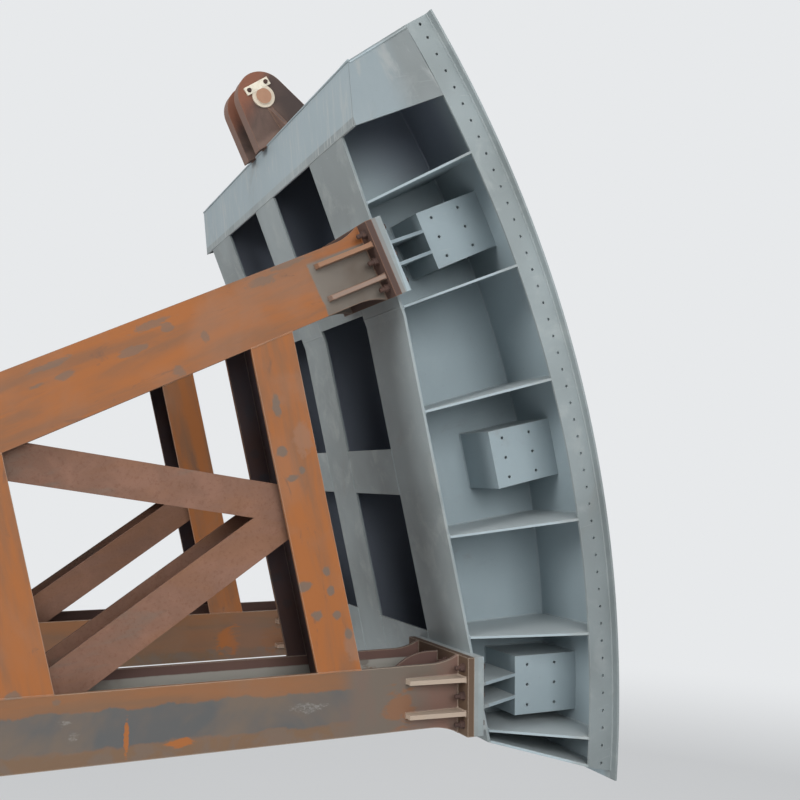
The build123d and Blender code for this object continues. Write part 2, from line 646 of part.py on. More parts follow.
def hoist_lug():
    """Two thick cheeks with rounded heads on the top plate, and a sloping rib outside each."""
    pin = Pos(LUG_PIN_R, LUG_PIN_HEIGHT)
    head = (pin * Circle(LUG_HEAD_R)).edges()
    base = Line((SKIN_R - LUG_BASE_BACK, 0), (SKIN_R - LUG_BASE_FRONT, 0))
    cheek = make_hull([*head, base]) - pin * Circle(HOIST_PIN_R)
    outer, inner = LUG_OUTER, LUG_OUTER - LUG_CHEEK_T
    head_foot = LUG_PIN_HEIGHT - HOIST_COLLAR_R
    rib_plane = Plane(radial_point(LUG_PIN_R), x_dir=(0, 1, 0), z_dir=direction(TOP_ANGLE))
    rib = polygon((outer, 0), (LUG_OUTER + LUG_RIB_FOOT, 0), (outer, head_foot))
    plate = extrude(rib_plane * rib, LUG_RIB_T / 2, both=True)
    lug = lug_slab(cheek, -outer, -inner) + lug_slab(cheek, inner, outer)
    return lug + [plate, mirror(plate, about=Plane.XZ)]


def direction(angle):
    a = radians(angle)
    return (cos(a), 0, sin(a))


def radial_point(radius):
    a = radians(TOP_ANGLE)
    return (radius * cos(a), 0, radius * sin(a))


def hoist_pin():
    """Pin with a collar outside each cheek, and a flat for the keeper across its near end."""
    end = LUG_OUTER + HOIST_PIN_PROUD
    pin = Pos(LUG_PIN_R, LUG_PIN_HEIGHT)
    shaft = lug_slab(pin * Circle(HOIST_PIN_R), -end, end)
    collar = lug_slab(pin * Circle(HOIST_COLLAR_R), LUG_OUTER, LUG_OUTER + HOIST_COLLAR_T)
    return (shaft + collar + mirror(collar, about=Plane.XZ)) - lug_slab(keeper_outline(), -end, -LUG_OUTER)


def hoist_keeper():
    """Keeper plate on the near cheek, seated on the flat of the pin's near end."""
    return lug_slab(keeper_outline(), -LUG_OUTER - KEEPER_T, -LUG_OUTER)


def keeper_outline():
    low, half = LUG_PIN_HEIGHT + KEEPER_SEAT, KEEPER_LENGTH / 2
    return box_sketch(LUG_PIN_R - half, LUG_PIN_R + half, low, low + KEEPER_HEIGHT)


def gate():
    """Every sub-part about the trunnion axis, by name."""
    space = leaf_space()
    floor_in = shift(FLOOR, PLATE_T)
    upper_low = radial_line(ARM_UPPER_ANGLE - UPPER_BAND_LOW_ANGLE)
    upper_high = radial_line(ARM_UPPER_ANGLE + UPPER_BAND_HIGH_ANGLE)
    middle_low = radial_line(BISECTOR_ANGLE - MIDDLE_BAND_LOW_ANGLE)
    middle_high = radial_line(BISECTOR_ANGLE + MIDDLE_BAND_HIGH_ANGLE)
    lower_high = radial_line(ARM_LOWER_ANGLE + LOWER_BAND_HIGH_ANGLE)
    parts = {
        "skin_plate": skin_plate(),
        "girder_middle": middle_girder(),
        "upper_girder": horizontal_girder(upper_low, upper_low, upper_high, ARM_UPPER_ANGLE, space),
        "middle_girder": horizontal_girder(middle_low, middle_low, middle_high, BISECTOR_ANGLE, space),
        "lower_girder": horizontal_girder(FLOOR, floor_in, lower_high, ARM_LOWER_ANGLE, space),
        "skin_stiffeners": bay_stiffeners(space),
        "top_box": top_box(),
        "bottom_plate": bottom_plate(),
        "hoist_lug": hoist_lug(),
        "hoist_pin": hoist_pin(),
        "hoist_keeper": hoist_keeper(),
    }
    near = {
        "side_strip": side_strip(),
        "outer_girder": outer_girder(),
        "side_ribs": side_ribs(space),
        "roller_brackets": roller_brackets(space),
        "upper_arm_pad": arm_pad(ARM_UPPER_ANGLE),
        "lower_arm_pad": arm_pad(ARM_LOWER_ANGLE),
    }
    for name, shape in near.items():
        parts["near_" + name] = shape
        parts["far_" + name] = mirror(shape, about=Plane.XZ)
    frame = {
        "upper_arm": arm(ARM_UPPER_ANGLE),
        "lower_arm": arm(ARM_LOWER_ANGLE),
        "main_strut": strut(MAIN_STRUT_R),
        "rear_strut": strut(REAR_STRUT_R),
        "mid_brace": mid_brace(),
        "diagonal_brace": diagonal_brace(),
        "trunnion_hub": trunnion_hub(),
        "trunnion_pin": trunnion_pin(),
        "trunnion_bracket": trunnion_bracket(),
    }
    for name, shape in frame.items():
        parts["near_" + name] = Pos(0, -FRAME_Y, 0) * shape
        parts["far_" + name] = Pos(0, FRAME_Y, 0) * shape
    return parts


os.makedirs("parts", exist_ok=True)
for name, shape in gate().items():
    export_step(Pos(BRACKET_BACK, FRAME_Y, 0) * shape, f"parts/{name}.step")
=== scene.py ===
from math import ceil, cos, radians, sin

import bpy
from mathutils import Euler, Matrix, Vector


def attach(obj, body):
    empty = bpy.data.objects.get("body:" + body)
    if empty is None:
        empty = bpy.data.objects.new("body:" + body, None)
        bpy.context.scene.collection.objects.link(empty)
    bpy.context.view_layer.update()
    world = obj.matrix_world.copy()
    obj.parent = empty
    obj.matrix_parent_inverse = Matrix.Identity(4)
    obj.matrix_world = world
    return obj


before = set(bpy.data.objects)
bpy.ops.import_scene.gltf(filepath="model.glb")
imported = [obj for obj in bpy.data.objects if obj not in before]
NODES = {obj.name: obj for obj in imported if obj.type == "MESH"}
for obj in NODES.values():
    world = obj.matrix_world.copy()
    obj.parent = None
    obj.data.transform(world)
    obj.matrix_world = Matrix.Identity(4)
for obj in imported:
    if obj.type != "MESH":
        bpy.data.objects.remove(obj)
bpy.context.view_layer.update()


def rgb(red, green, blue):
    """Opaque colour."""
    return (red, green, blue, 1.0)


# Leaf, in metres and degrees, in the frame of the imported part. Angles and radii are about the trunnion axis.
# REAR_LOWER, REAR_UPPER, BOX_REAR and FLOOR_NORMAL are lines of the side view: normal's angle, and distance.
AXIS_X = 0.55
FRAME_OFFSET = 1.33
MID_Y = FRAME_OFFSET
LEAF_HALF = 1.98
SKIN_INNER = 6.488
STRIP_R = 6.335
STRIP_T = 0.016
TOP_ANGLE = 37.6
FLOOR_ANGLE = -2.2
ROOF_REAR_R = 5.995
BOX_SIDE = 1.842
BOX_FOOT_ANGLE = 34.53
BOX_FOOT_R = 5.824
REAR_LOWER = (14.6, 5.638)
REAR_UPPER = (23.5, 5.716)
REAR_BEND_ANGLE = 24.6
BOX_REAR = (7.6, 5.192)
FLOOR_NORMAL = (78.2, 1.081)
FLANGE_T = 0.016
PLATE_T = 0.014
WEB_OFFSET = 1.18
FLANGE_OUT = 1.633
FLANGE_IN = 1.04
MIDDLE_FLANGE_HALF = 0.23
REAR_FOOT_ANGLE = -1.2
BANDS = ((24.9, 29.4), (13.34, 16.31), (REAR_FOOT_ANGLE, 4.48))
RIB_ANGLES = (30.7, 24.55, 18.4, 10.9, 4.9, -0.5)
COPE_R = 0.04

# Arm frames
ARM_UPPER = 27.5
ARM_LOWER = 1.75
BISECTOR = (ARM_UPPER + ARM_LOWER) / 2
ARM_HALF_WIDTH = 0.18
ARM_HALF_DEPTH = 0.3
ARM_FLANGE_T = 0.025
ARM_INNER_FACE = ARM_HALF_DEPTH - ARM_FLANGE_T
ARM_WEB_T = 0.016
ARM_START = 0.9
END_PLATE_R = 5.655
END_PLATE_HALF_HEIGHT = 0.2225
PAD_DEPTH = 0.1
PAD_BACK_R = END_PLATE_R + PAD_DEPTH
END_RIB_OFFSET = 0.095
END_RIB_T = 0.025
END_RIB_LENGTH = 0.33
END_RIB_HEIGHT = 0.11
STRUT_DISTANCES = (4.85, 3.31)
STRUT_HALF_WIDTH = 0.1225

# Side roller boxes, in line with the arms and between them
ROLLER_ANGLES = (ARM_UPPER, BISECTOR, ARM_LOWER)
ROLLER_INNER_R = 6.06
ROLLER_FACE = 1.575
ROLLER_HALF_HEIGHT = 0.175

# Frames: name, side of the leaf, plane, and how far their worn patches are moved along the bars
FAR_SHIFT = -0.35
FRAMES = (("near_", -1, MID_Y - FRAME_OFFSET, 0.0), ("far_", 1, MID_Y + FRAME_OFFSET, FAR_SHIFT))
# Arms of a frame: name, direction and slot
ARMS = (("upper", ARM_UPPER, "arm_primer"), ("lower", ARM_LOWER, "lower_arm_primer"))

# Trunnion brackets
BASE_FRONT_X = 0.06
CHEEK_IN = 0.305
CHEEK_OUT = 0.365
CHEEK_HALF_HEIGHT = 0.39
ANCHOR_Y = 0.43
BRACKET_RIB_T = 0.03
BRACKET_RIB_TIP_X = 0.265
PIN_CAP_FACE = 0.39

# Hoist lug, along the top plate and above it
LUG_PIN_S = 6.163
LUG_PIN_H = 0.294
LUG_BASE = (ROOF_REAR_R, 6.43)
LUG_OUTER = 0.205
LUG_INNER = 0.095
LUG_RIB_T = 0.025
LUG_RIB_FOOT = 0.12
LUG_RIB_HEAD = 0.216
KEEPER_T = 0.014
KEEPER_FACE = LUG_OUTER + KEEPER_T
KEEPER_BOLT_H = 0.371
KEEPER_BOLT_SPACING = 0.068

# Fasteners: thread diameters, and sizes as shares of the thread or, for a washer's chamfer, its thickness
ARM_BOLT = 0.027
ARM_BOLT_STUB = 0.03
KEEPER_BOLT = 0.016
CAP_BOLT = 0.02
WASHER_R = 0.98
WASHER_T = 0.15
WASHER_SIDES = 24
WASHER_CHAMFER = 0.2
NUT_R = 0.87
NUT_T = 0.8
BOLT_SIDES = 16
BOLT_CHAMFER = 0.1
CAP_BOLT_RING = 0.1
CAP_BOLTS = 6
CAP_BOLT_START = 30
# Bolts on an arm's end plate: columns outside and inside each flange, and their rows
OUTER_COLUMN = 0.373
OUTER_ROWS = (-0.16, 0.0, 0.16)
INNER_COLUMN = 0.14
INNER_ROWS = (-0.16, 0.16)

# Weld beads
BEAD_R = 0.007
LUG_BEAD_R = 1.4 * BEAD_R
BEAD_SIDES = 6
BEAD_STEP = 0.1
BEAD_WAVER = 0.0012
MERGE = 0.0001
BUTT_SUNK = 0.004

# Camera: its place, angles in degrees, lens in millimetres, and shift as a share of the picture
CAMERA_AT = (3.537, -5.73, 1.345)
CAMERA_HEADING = 26.39
CAMERA_TILT = 3.99
CAMERA_ROLL = 1.96
CAMERA_LENS = 46.33
CAMERA_SHIFT = (-0.09, 0.0233)

# Room: the floor lies just under the leaf's lowest reach and glows more and more with distance
FLOOR_AT = (4.0, 1.0, -3.6)
FLOOR_SIZE = 160.0
FLOOR_LIGHT = rgb(0.8, 0.8, 0.8)
FLOOR_DARK = rgb(0.776, 0.776, 0.776)
BACKDROP = rgb(0.80, 0.815, 0.83)
FADE_NEAR = 6.0
FADE_FAR = 26.0
NEAR_GLOW = 0.45
WORLD_COLOUR = rgb(0.94, 0.97, 1.0)
WORLD_LIGHT = 0.40

# Lamps: name, place, the point they face, size, power and colour
LAMPS = (
    ("front_lamp", (4.5, -13.0, 5.2), (5.5, 0.0, 1.5), 7.0, 1150.0, (1.0, 1.0, 0.99)),
    ("side_lamp", (-9.0, -4.0, 5.0), (4.5, 0.5, 1.5), 6.0, 1200.0, (1.0, 0.99, 0.97)),
    ("top_lamp", (5.0, -4.0, 12.0), (5.0, 0.5, 0.0), 8.0, 330.0, (1.0, 1.0, 1.0)),
)

# Finishes: colours of the leaf and its pads
LEAF_PAINT = rgb(0.265, 0.305, 0.315)
LEAF_DARK = rgb(0.205, 0.235, 0.24)
LEAF_PALE = rgb(0.37, 0.40, 0.40)
# Painted light: lighter, bluer paint inside the side pockets
POCKET_PAINTED_LIGHT = rgb(0.30, 0.37, 0.405)
# Dust, with painted light from above, on faces that look up
LEAF_DUST_AND_LIGHT = rgb(0.50, 0.53, 0.53)
LEAF_DIRT = rgb(0.20, 0.175, 0.15)
# Painted shade inside the bays and the top pocket
BAY_PAINTED_SHADE = rgb(0.17, 0.195, 0.24)
PAD_SHADE = rgb(0.17, 0.155, 0.145)
# Black, for painted shade on the top box's slanted sides and down the side strip
SHADOW = rgb(0.0, 0.0, 0.0)

# Colours of arms, struts and braces
ORANGE = rgb(0.298, 0.107, 0.034)
ORANGE_BROWN = rgb(0.205, 0.098, 0.052)
ORANGE_PALE = rgb(0.25, 0.135, 0.085)
BARE_STEEL = rgb(0.135, 0.11, 0.09)
BARE_BROWN = rgb(0.12, 0.075, 0.058)
BARE_GREY = rgb(0.165, 0.145, 0.125)
# Dark steel deepened with painted shade, for the struts' webs and inner sides
STRUT_SHADE = rgb(0.05, 0.047, 0.06)
STRUT_SHADE_BROWN = rgb(0.06, 0.038, 0.038)
MILL_SCALE = rgb(0.083, 0.093, 0.098)
LOWER_BROWN = rgb(0.15, 0.10, 0.065)
# Pale tone above the near lower arm's web: dust and painted light from above
TROUGH_DUST_AND_LIGHT = rgb(0.33, 0.32, 0.29)
SCUFF = rgb(0.30, 0.30, 0.285)
END_BROWN = rgb(0.10, 0.058, 0.054)
CREAM = rgb(0.40, 0.325, 0.26)
PINK_BROWN = rgb(0.17, 0.10, 0.08)
PLATE_BROWN = rgb(0.08, 0.05, 0.042)
PLATE_TAN = rgb(0.125, 0.082, 0.05)
RIB_ORANGE = rgb(0.27, 0.14, 0.08)
RIB_PINK = rgb(0.25, 0.175, 0.14)
BRACE_BROWN = rgb(0.175, 0.095, 0.066)
BRACE_LIGHT = rgb(0.215, 0.115, 0.08)

# Colours of the lug, the pins, the keeper and the nuts
LUG_BROWN = rgb(0.075, 0.052, 0.046)
LUG_LIGHT = rgb(0.12, 0.08, 0.066)
LUG_RED = rgb(0.20, 0.085, 0.055)
# Painted shadow on the lug's front, low down
LUG_PAINTED_SHADOW = rgb(0.05, 0.038, 0.036)
LUG_PALE = rgb(0.21, 0.14, 0.115)
RUST = rgb(0.12, 0.052, 0.032)
PIN_STEEL = rgb(0.30, 0.24, 0.19)
PIN_LIGHT = rgb(0.42, 0.38, 0.33)
FACE_RUST = rgb(0.27, 0.13, 0.075)
FACE_LIGHT = rgb(0.36, 0.2, 0.12)
RING_TAN = rgb(0.62, 0.56, 0.46)
RING_BROWN = rgb(0.48, 0.40, 0.31)
KEEPER_CREAM = rgb(0.66, 0.60, 0.48)
KEEPER_LIGHT = rgb(0.74, 0.70, 0.60)
NUT_DARK = rgb(0.045, 0.03, 0.027)
NUT_BROWN = rgb(0.095, 0.055, 0.045)

# Worn patches, each a middle and half sizes along and across its bar
UPPER_PATCHES = (
    ((3.84, 0.125), (0.13, 0.018)),
    ((3.90, 0.05), (0.05, 0.022)),
    ((3.76, 0.055), (0.05, 0.012)),
    ((4.25, 0.04), (0.09, 0.022)),
    ((4.40, 0.13), (0.12, 0.022)),
    ((4.45, 0.085), (0.03, 0.035)),
    ((4.41, -0.14), (0.035, 0.035)),
    ((4.61, -0.03), (0.022, 0.03)),
    ((5.02, 0.13), (0.10, 0.03)),
    ((5.20, 0.165), (0.12, 0.018)),
)
STRUT_PATCHES = (
    ((4.80, 0.57), (0.025, 0.065)),
    ((4.78, 0.32), (0.034, 0.034)),
    ((4.87, 0.20), (0.018, 0.022)),
    ((4.81, 0.17), (0.04, 0.022)),
    ((4.89, -0.37), (0.026, 0.028)),
    ((4.75, -0.42), (0.045, 0.03)),
    ((4.89, -0.48), (0.022, 0.032)),
    ((4.79, -0.59), (0.034, 0.03)),
    ((4.90, -0.62), (0.028, 0.028)),
    ((4.94, -0.74), (0.022, 0.035)),
)
STRUT_PALE = (((4.91, 0.37), (0.055, 0.10)), ((4.95, -0.80), (0.05, 0.10)))
LOWER_PATCHES = (((3.49, 0.14), (0.026, 0.022)), ((5.29, 0.11), (0.05, 0.03)))
LOWER_SCUFFS = (((3.53, 0.043), (0.035, 0.02)), ((3.57, -0.03), (0.03, 0.025)), ((4.75, 0.0), (0.09, 0.03)))
LOWER_ORANGE_END = (((5.30, -0.04), (0.10, 0.12)),)
LOWER_ORANGE = (((3.82, -0.06), (0.012, 0.11)), ((4.08, -0.115), (0.06, 0.03))) + LOWER_ORANGE_END

# What differs between the arms: worn patches, where the bare end starts and how softly, and tones
ARM_LOOKS = {
    "upper": (UPPER_PATCHES, 5.29, 0.006, BARE_GREY, PLATE_BROWN, ORANGE_PALE),
    "lower": (LOWER_PATCHES, 4.98, 0.07, PINK_BROWN, PLATE_TAN, CREAM),
}

# Bands across an arm: mill scale, the top of the pale tone of dust and painted light, the upper arm's bare
# end, and how softly they end
BAND_TOP = 0.085
BAND_TOP_BLUR = 0.008
BAND_FOOT = -0.10
BAND_FOOT_BLUR = 0.012
DUST_AND_LIGHT_TOP = 0.13
DUST_AND_LIGHT_BLUR = 0.004
BARE_TOP = 0.125
BARE_TOP_BLUR = 0.01

# How strong the mill scale and the bare ends are on the near and far frames
SCALE_NEAR = 0.92
SCALE_FAR = 0.15
BARE_FAR = 0.3

# How far short of a plate's face the leaf's finish changes, and over what stretch
SHORT = 0.004
CHANGE = (0.001, 0.003)

# Each from and to: painted light inside the pockets, painted shade inside the top one and in its corner, and
# painted shade down the strip to its foot
POCKET_PAINTED_LIGHT_SPAN = (LEAF_HALF - 0.03, LEAF_HALF - 0.08)
TOP_POCKET_PAINTED_SHADE = (LEAF_HALF - 0.15, LEAF_HALF - 0.5)
CORNER_PAINTED_SHADE = (4.28, 4.78)
STRIP_PAINTED_SHADE = (2.5, 0.8)

# Pads: depth that stays clear of the end plate's shade, and how strong it is
PAD_CLEAR = 0.035
PAD_CLEAR_BLUR = 0.003
PAD_SHADE_DEPTH = {ARM_UPPER: 0.75, ARM_LOWER: 0.2}

# Lug: how steeply its red head's border falls, and its heights over the pin; the pin's face and ring
HEAD_SLOPE = 0.7
HEAD_FROM = 0.27
HEAD_TO = 0.43
PIN_FACE_R = 0.052
PIN_RING_R = 0.055

# Shader: specular levels, depth of the grain and radius of the rounded edges
PAINT_GLOSS = 0.4
PRIMER_GLOSS = 0.15
GRAIN_DEPTH = 0.002
EDGE_ROUNDING = 0.003


def direction(angle):
    """Direction of the side view at an angle above +X."""
    return Vector((cos(radians(angle)), 0, sin(radians(angle))))


def at(radius, angle, y, off=0.0):
    """Point at a radius and angle about the trunnion axis, moved off that radius's line."""
    along = direction(angle)
    across = direction(angle + 90)
    return Vector((AXIS_X, y, 0)) + radius * along + off * across


def rear_radius(angle):
    """Radius of the leaf's rear face, which bends once."""
    lower, upper = (reach / cos(radians(angle - normal)) for normal, reach in (REAR_LOWER, REAR_UPPER))
    return min(lower, upper)


# Modelling helpers
def alone():
    """Clears the selection, so that an operator acts on the new piece only."""
    bpy.ops.object.select_all(action="DESELECT")


def settle(name):
    """Puts the new object's place into its mesh and names it."""
    bpy.ops.object.transform_apply(location=True, rotation=True, scale=True)
    made = bpy.context.object
    made.name = name
    return made


def gather(name, parts):
    """Joins many small shapes to one piece."""
    alone()
    for part in parts:
        part.select_set(True)
    bpy.context.view_layer.objects.active = parts[0]
    bpy.ops.object.join()
    joined = bpy.context.object
    joined.name = name
    return joined


def finished(piece, body, material):
    """Gives a piece its finish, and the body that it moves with."""
    piece.data.materials.clear()
    piece.data.materials.append(material)
    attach(piece, body)


def pick_edges(mesh_object, wanted):
    """Selects in edit mode the edges that a test of their two ends picks."""
    bpy.ops.object.mode_set(mode="EDIT")
    bpy.ops.mesh.select_mode(type="EDGE")
    bpy.ops.mesh.select_all(action="DESELECT")
    bpy.ops.object.mode_set(mode="OBJECT")
    points = mesh_object.data.vertices
    for edge in mesh_object.data.edges:
        first, second = (points[i].co for i in edge.vertices)
        edge.select = wanted(first, second)
    bpy.ops.object.mode_set(mode="EDIT")


# Weld beads
def bead(start, end, radius=BEAD_R):
    """Straight weld bead along a corner: a round bar with a wavering surface."""
    start, end = Vector(start), Vector(end)
    run = end - start
    alone()
    bpy.ops.mesh.primitive_cylinder_add(vertices=BEAD_SIDES, radius=radius, depth=run.length)
    made = bpy.context.object
    pick_edges(made, lambda first, second: abs(first.z - second.z) > radius)
    bpy.ops.mesh.subdivide(number_cuts=max(1, ceil(run.length / BEAD_STEP)))
    bpy.ops.mesh.select_all(action="SELECT")
    bpy.ops.transform.vertex_random(offset=BEAD_WAVER, seed=int(run.length * 1000))
    bpy.ops.object.mode_set(mode="OBJECT")
    made.rotation_euler = run.to_track_quat("Z", "Y").to_euler()
    made.location = (start + end) / 2
    return settle("bead")


def arc_bead(radius, y, low, high, size=BEAD_R):
    """Weld bead along a circle about the trunnion axis, spun from its lower end up."""
    start = at(radius, low, y)
    alone()
    stance = {"location": start, "rotation": (0, radians(-low), 0)}
    bpy.ops.mesh.primitive_circle_add(vertices=BEAD_SIDES, radius=size, fill_type="NGON", **stance)
    made = settle("arc_bead")
    bpy.ops.object.mode_set(mode="EDIT")
    bpy.ops.mesh.select_all(action="SELECT")
    steps = ceil(radius * radians(high - low) / BEAD_STEP)
    hinge = {"center": (AXIS_X, 0, 0), "axis": (0, 1, 0)}
    bpy.ops.mesh.spin(steps=steps, angle=radians(high - low), **hinge)
    bpy.ops.mesh.select_all(action="SELECT")
    bpy.ops.mesh.remove_doubles(threshold=MERGE)
    bpy.ops.transform.vertex_random(offset=BEAD_WAVER, seed=steps)
    bpy.ops.mesh.normals_make_consistent(inside=False)
    bpy.ops.object.mode_set(mode="OBJECT")
    return made


def both_faces(angle, thickness, start, end):
    """Beads on both faces of a radial plate, between two places given as radius and distance across."""
    beads = []
    for off in (-thickness / 2, thickness / 2):
        beads.append(bead(at(start[0], angle, start[1], off), at(end[0], angle, end[1], off)))
    return beads


def pocket_welds(side):
    """Welds in one side pocket: web, ribs, roller boxes, side strip and top box side."""
    def across(offset):
        return MID_Y + side * offset

    web, flange = across(WEB_OFFSET), across(FLANGE_OUT)
    beads = [arc_bead(SKIN_INNER, web, FLOOR_ANGLE, TOP_ANGLE)]
    beads.append(arc_bead(SKIN_INNER, across(LEAF_HALF), FLOOR_ANGLE, TOP_ANGLE))
    strip = across(LEAF_HALF - STRIP_T)
    for angle in RIB_ANGLES:
        rear = rear_radius(angle) + FLANGE_T
        beads += both_faces(angle, PLATE_T, (rear, web), (SKIN_INNER - COPE_R, web))
        beads += both_faces(angle, PLATE_T, (SKIN_INNER, across(WEB_OFFSET + COPE_R)), (SKIN_INNER, strip))
        beads += both_faces(angle, PLATE_T, (rear, web), (rear, flange))
        beads += both_faces(angle, PLATE_T, (STRIP_R, strip), (SKIN_INNER, strip))
    half, face = ROLLER_HALF_HEIGHT, across(ROLLER_FACE)
    for angle in ROLLER_ANGLES:
        beads.append(bead(at(ROLLER_INNER_R, angle, web, -half), at(ROLLER_INNER_R, angle, web, half)))
        for off in (-half, half):
            beads.append(bead(at(ROLLER_INNER_R, angle, web, off), at(SKIN_INNER, angle, web, off)))
            beads.append(bead(at(SKIN_INNER, angle, web, off), at(SKIN_INNER, angle, face, off)))
    for low, high in ((REAR_FOOT_ANGLE, REAR_BEND_ANGLE), (REAR_BEND_ANGLE, BOX_FOOT_ANGLE)):
        ends = [at(rear_radius(angle) + FLANGE_T, angle, web) for angle in (low, high)]
        beads.append(bead(*ends))
    roof_rear = at(ROOF_REAR_R, TOP_ANGLE, across(BOX_SIDE), -PLATE_T)
    beads.append(bead(roof_rear, at(STRIP_R, TOP_ANGLE, across(LEAF_HALF), -PLATE_T)))
    return beads


def butt(start_angle, end_angle, y_start, y_end):
    """Flush weld on the leaf's rear face, sunk so that only its crown stands proud."""
    start = rear_radius(start_angle) + BUTT_SUNK
    end = rear_radius(end_angle) + BUTT_SUNK
    return bead(at(start, start_angle, y_start), at(end, end_angle, y_end))


def rear_welds():
    """Flush welds on the rear face: flange bends, band ends and the top box's foot and upper edge."""
    beads = []
    flanges = [(-FLANGE_OUT, -FLANGE_IN), (-MIDDLE_FLANGE_HALF, MIDDLE_FLANGE_HALF), (FLANGE_IN, FLANGE_OUT)]
    for low, high in flanges:
        beads.append(butt(REAR_BEND_ANGLE, REAR_BEND_ANGLE, MID_Y + low, MID_Y + high))
    for low, high in BANDS:
        for offset in (-FLANGE_IN, -MIDDLE_FLANGE_HALF, MIDDLE_FLANGE_HALF, FLANGE_IN):
            beads.append(butt(low, high, MID_Y + offset, MID_Y + offset))
    foot = BOX_FOOT_R + BUTT_SUNK
    edges = ((foot, BOX_FOOT_ANGLE), (ROOF_REAR_R, TOP_ANGLE))
    for radius, angle in edges:
        beads.append(bead(at(radius, angle, MID_Y - BOX_SIDE), at(radius, angle, MID_Y + BOX_SIDE)))
    return beads


def arm_welds(angle, frame_y):
    """Welds of one arm: web to flanges, end plate, end ribs and the hub's stub."""
    beads = []
    outer, inner = ARM_HALF_DEPTH, ARM_INNER_FACE
    tall, stub = END_PLATE_HALF_HEIGHT, ARM_HALF_WIDTH
    for side in (-1, 1):
        flange, face = frame_y + side * inner, frame_y + side * outer
        beads += both_faces(angle, ARM_WEB_T, (ARM_START, flange), (END_PLATE_R, flange))
        beads.append(bead(at(END_PLATE_R, angle, face, -tall), at(END_PLATE_R, angle, face, tall)))
        beads.append(bead(at(END_PLATE_R, angle, flange, -tall), at(END_PLATE_R, angle, flange, tall)))
        sunk = frame_y + side * (outer - BUTT_SUNK)
        beads.append(bead(at(ARM_START, angle, sunk, -stub), at(ARM_START, angle, sunk, stub)))
        tip = frame_y + side * (outer + END_RIB_HEIGHT)
        for row in (-END_RIB_OFFSET, END_RIB_OFFSET):
            for off in (row - END_RIB_T / 2, row + END_RIB_T / 2):
                tail = at(END_PLATE_R - END_RIB_LENGTH, angle, face, off)
                corner = at(END_PLATE_R, angle, face, off)
                beads.append(bead(tail, corner))
                beads.append(bead(corner, at(END_PLATE_R, angle, tip, off)))
    for off in (-ARM_WEB_T / 2, ARM_WEB_T / 2):
        ends = [at(END_PLATE_R, angle, frame_y + side * inner, off) for side in (-1, 1)]
        beads.append(bead(*ends))
    return beads


def strut_welds(frame_y):
    """Flush welds where the struts' flanges meet the arms' edges."""
    beads = []
    lean = radians(ARM_UPPER - BISECTOR)
    for distance in STRUT_DISTANCES:
        for angle, edge in ((ARM_UPPER, -ARM_HALF_WIDTH), (ARM_LOWER, ARM_HALF_WIDTH)):
            reach = [
                (distance + half - ARM_HALF_WIDTH * sin(lean)) / cos(lean)
                for half in (-STRUT_HALF_WIDTH, STRUT_HALF_WIDTH)
            ]
            for side in (-1, 1):
                sunk = frame_y + side * (ARM_HALF_DEPTH - BUTT_SUNK)
                beads.append(bead(*[at(r, angle, sunk, edge) for r in reach]))
    return beads


def bracket_welds(frame_y):
    """Welds of one trunnion bracket: cheeks and ribs on the base plate."""
    beads = []
    tall, half = CHEEK_HALF_HEIGHT, BRACKET_RIB_T / 2
    for side in (-1, 1):
        for offset in (CHEEK_IN, CHEEK_OUT):
            y = frame_y + side * offset
            beads.append(bead((BASE_FRONT_X, y, -tall), (BASE_FRONT_X, y, tall)))
        cheek, edge = frame_y + side * CHEEK_OUT, frame_y + side * ANCHOR_Y
        for z in (-half, half):
            beads.append(bead((BASE_FRONT_X, cheek, z), (BASE_FRONT_X, edge, z)))
            beads.append(bead((BASE_FRONT_X, cheek, z), (BRACKET_RIB_TIP_X, cheek, z)))
    return beads


def lug_welds():
    """Fillets round the lug's cheeks and ribs on the top plate."""
    beads = []
    start, end = LUG_BASE
    for side in (-1, 1):
        for offset in (LUG_INNER, LUG_OUTER):
            y = MID_Y + side * offset
            beads.append(bead(at(start, TOP_ANGLE, y), at(end, TOP_ANGLE, y), LUG_BEAD_R))
        inner, outer = MID_Y + side * LUG_INNER, MID_Y + side * LUG_OUTER
        for place_s in LUG_BASE:
            beads.append(bead(at(place_s, TOP_ANGLE, inner), at(place_s, TOP_ANGLE, outer), LUG_BEAD_R))
        foot = MID_Y + side * (LUG_OUTER + LUG_RIB_FOOT)
        for place_s in (LUG_PIN_S - LUG_RIB_T / 2, LUG_PIN_S + LUG_RIB_T / 2):
            beads.append(bead(at(place_s, TOP_ANGLE, outer), at(place_s, TOP_ANGLE, foot)))
            beads.append(bead(at(place_s, TOP_ANGLE, outer), at(place_s, TOP_ANGLE, outer, LUG_RIB_HEAD)))
    return beads


# Bolts and nuts
def turned_disc(sides, radius, low, high, chamfer):
    """Disc or hexagon from one height to another, with its upper rim chamfered."""
    alone()
    middle = (0, 0, (low + high) / 2)
    bpy.ops.mesh.primitive_cylinder_add(vertices=sides, radius=radius, depth=high - low, location=middle)
    made = settle("disc")
    pick_edges(made, lambda first, second: min(first.z, second.z) > high - chamfer / 2)
    bpy.ops.mesh.bevel(offset=chamfer, segments=1)
    bpy.ops.object.mode_set(mode="OBJECT")
    return made


def fastener(thread, stub):
    """Hexagon nut or head on its washer, standing on the origin, with a bolt's end where it has one."""
    seat, nut_t = WASHER_T * thread, NUT_T * thread
    chamfer = BOLT_CHAMFER * thread
    parts = [turned_disc(WASHER_SIDES, WASHER_R * thread, 0.0, seat, WASHER_CHAMFER * seat)]
    parts.append(turned_disc(6, NUT_R * thread, seat, seat + nut_t, chamfer))
    if stub:
        parts.append(turned_disc(BOLT_SIDES, thread / 2, seat, seat + nut_t + stub, chamfer))
    return gather("fastener", parts)


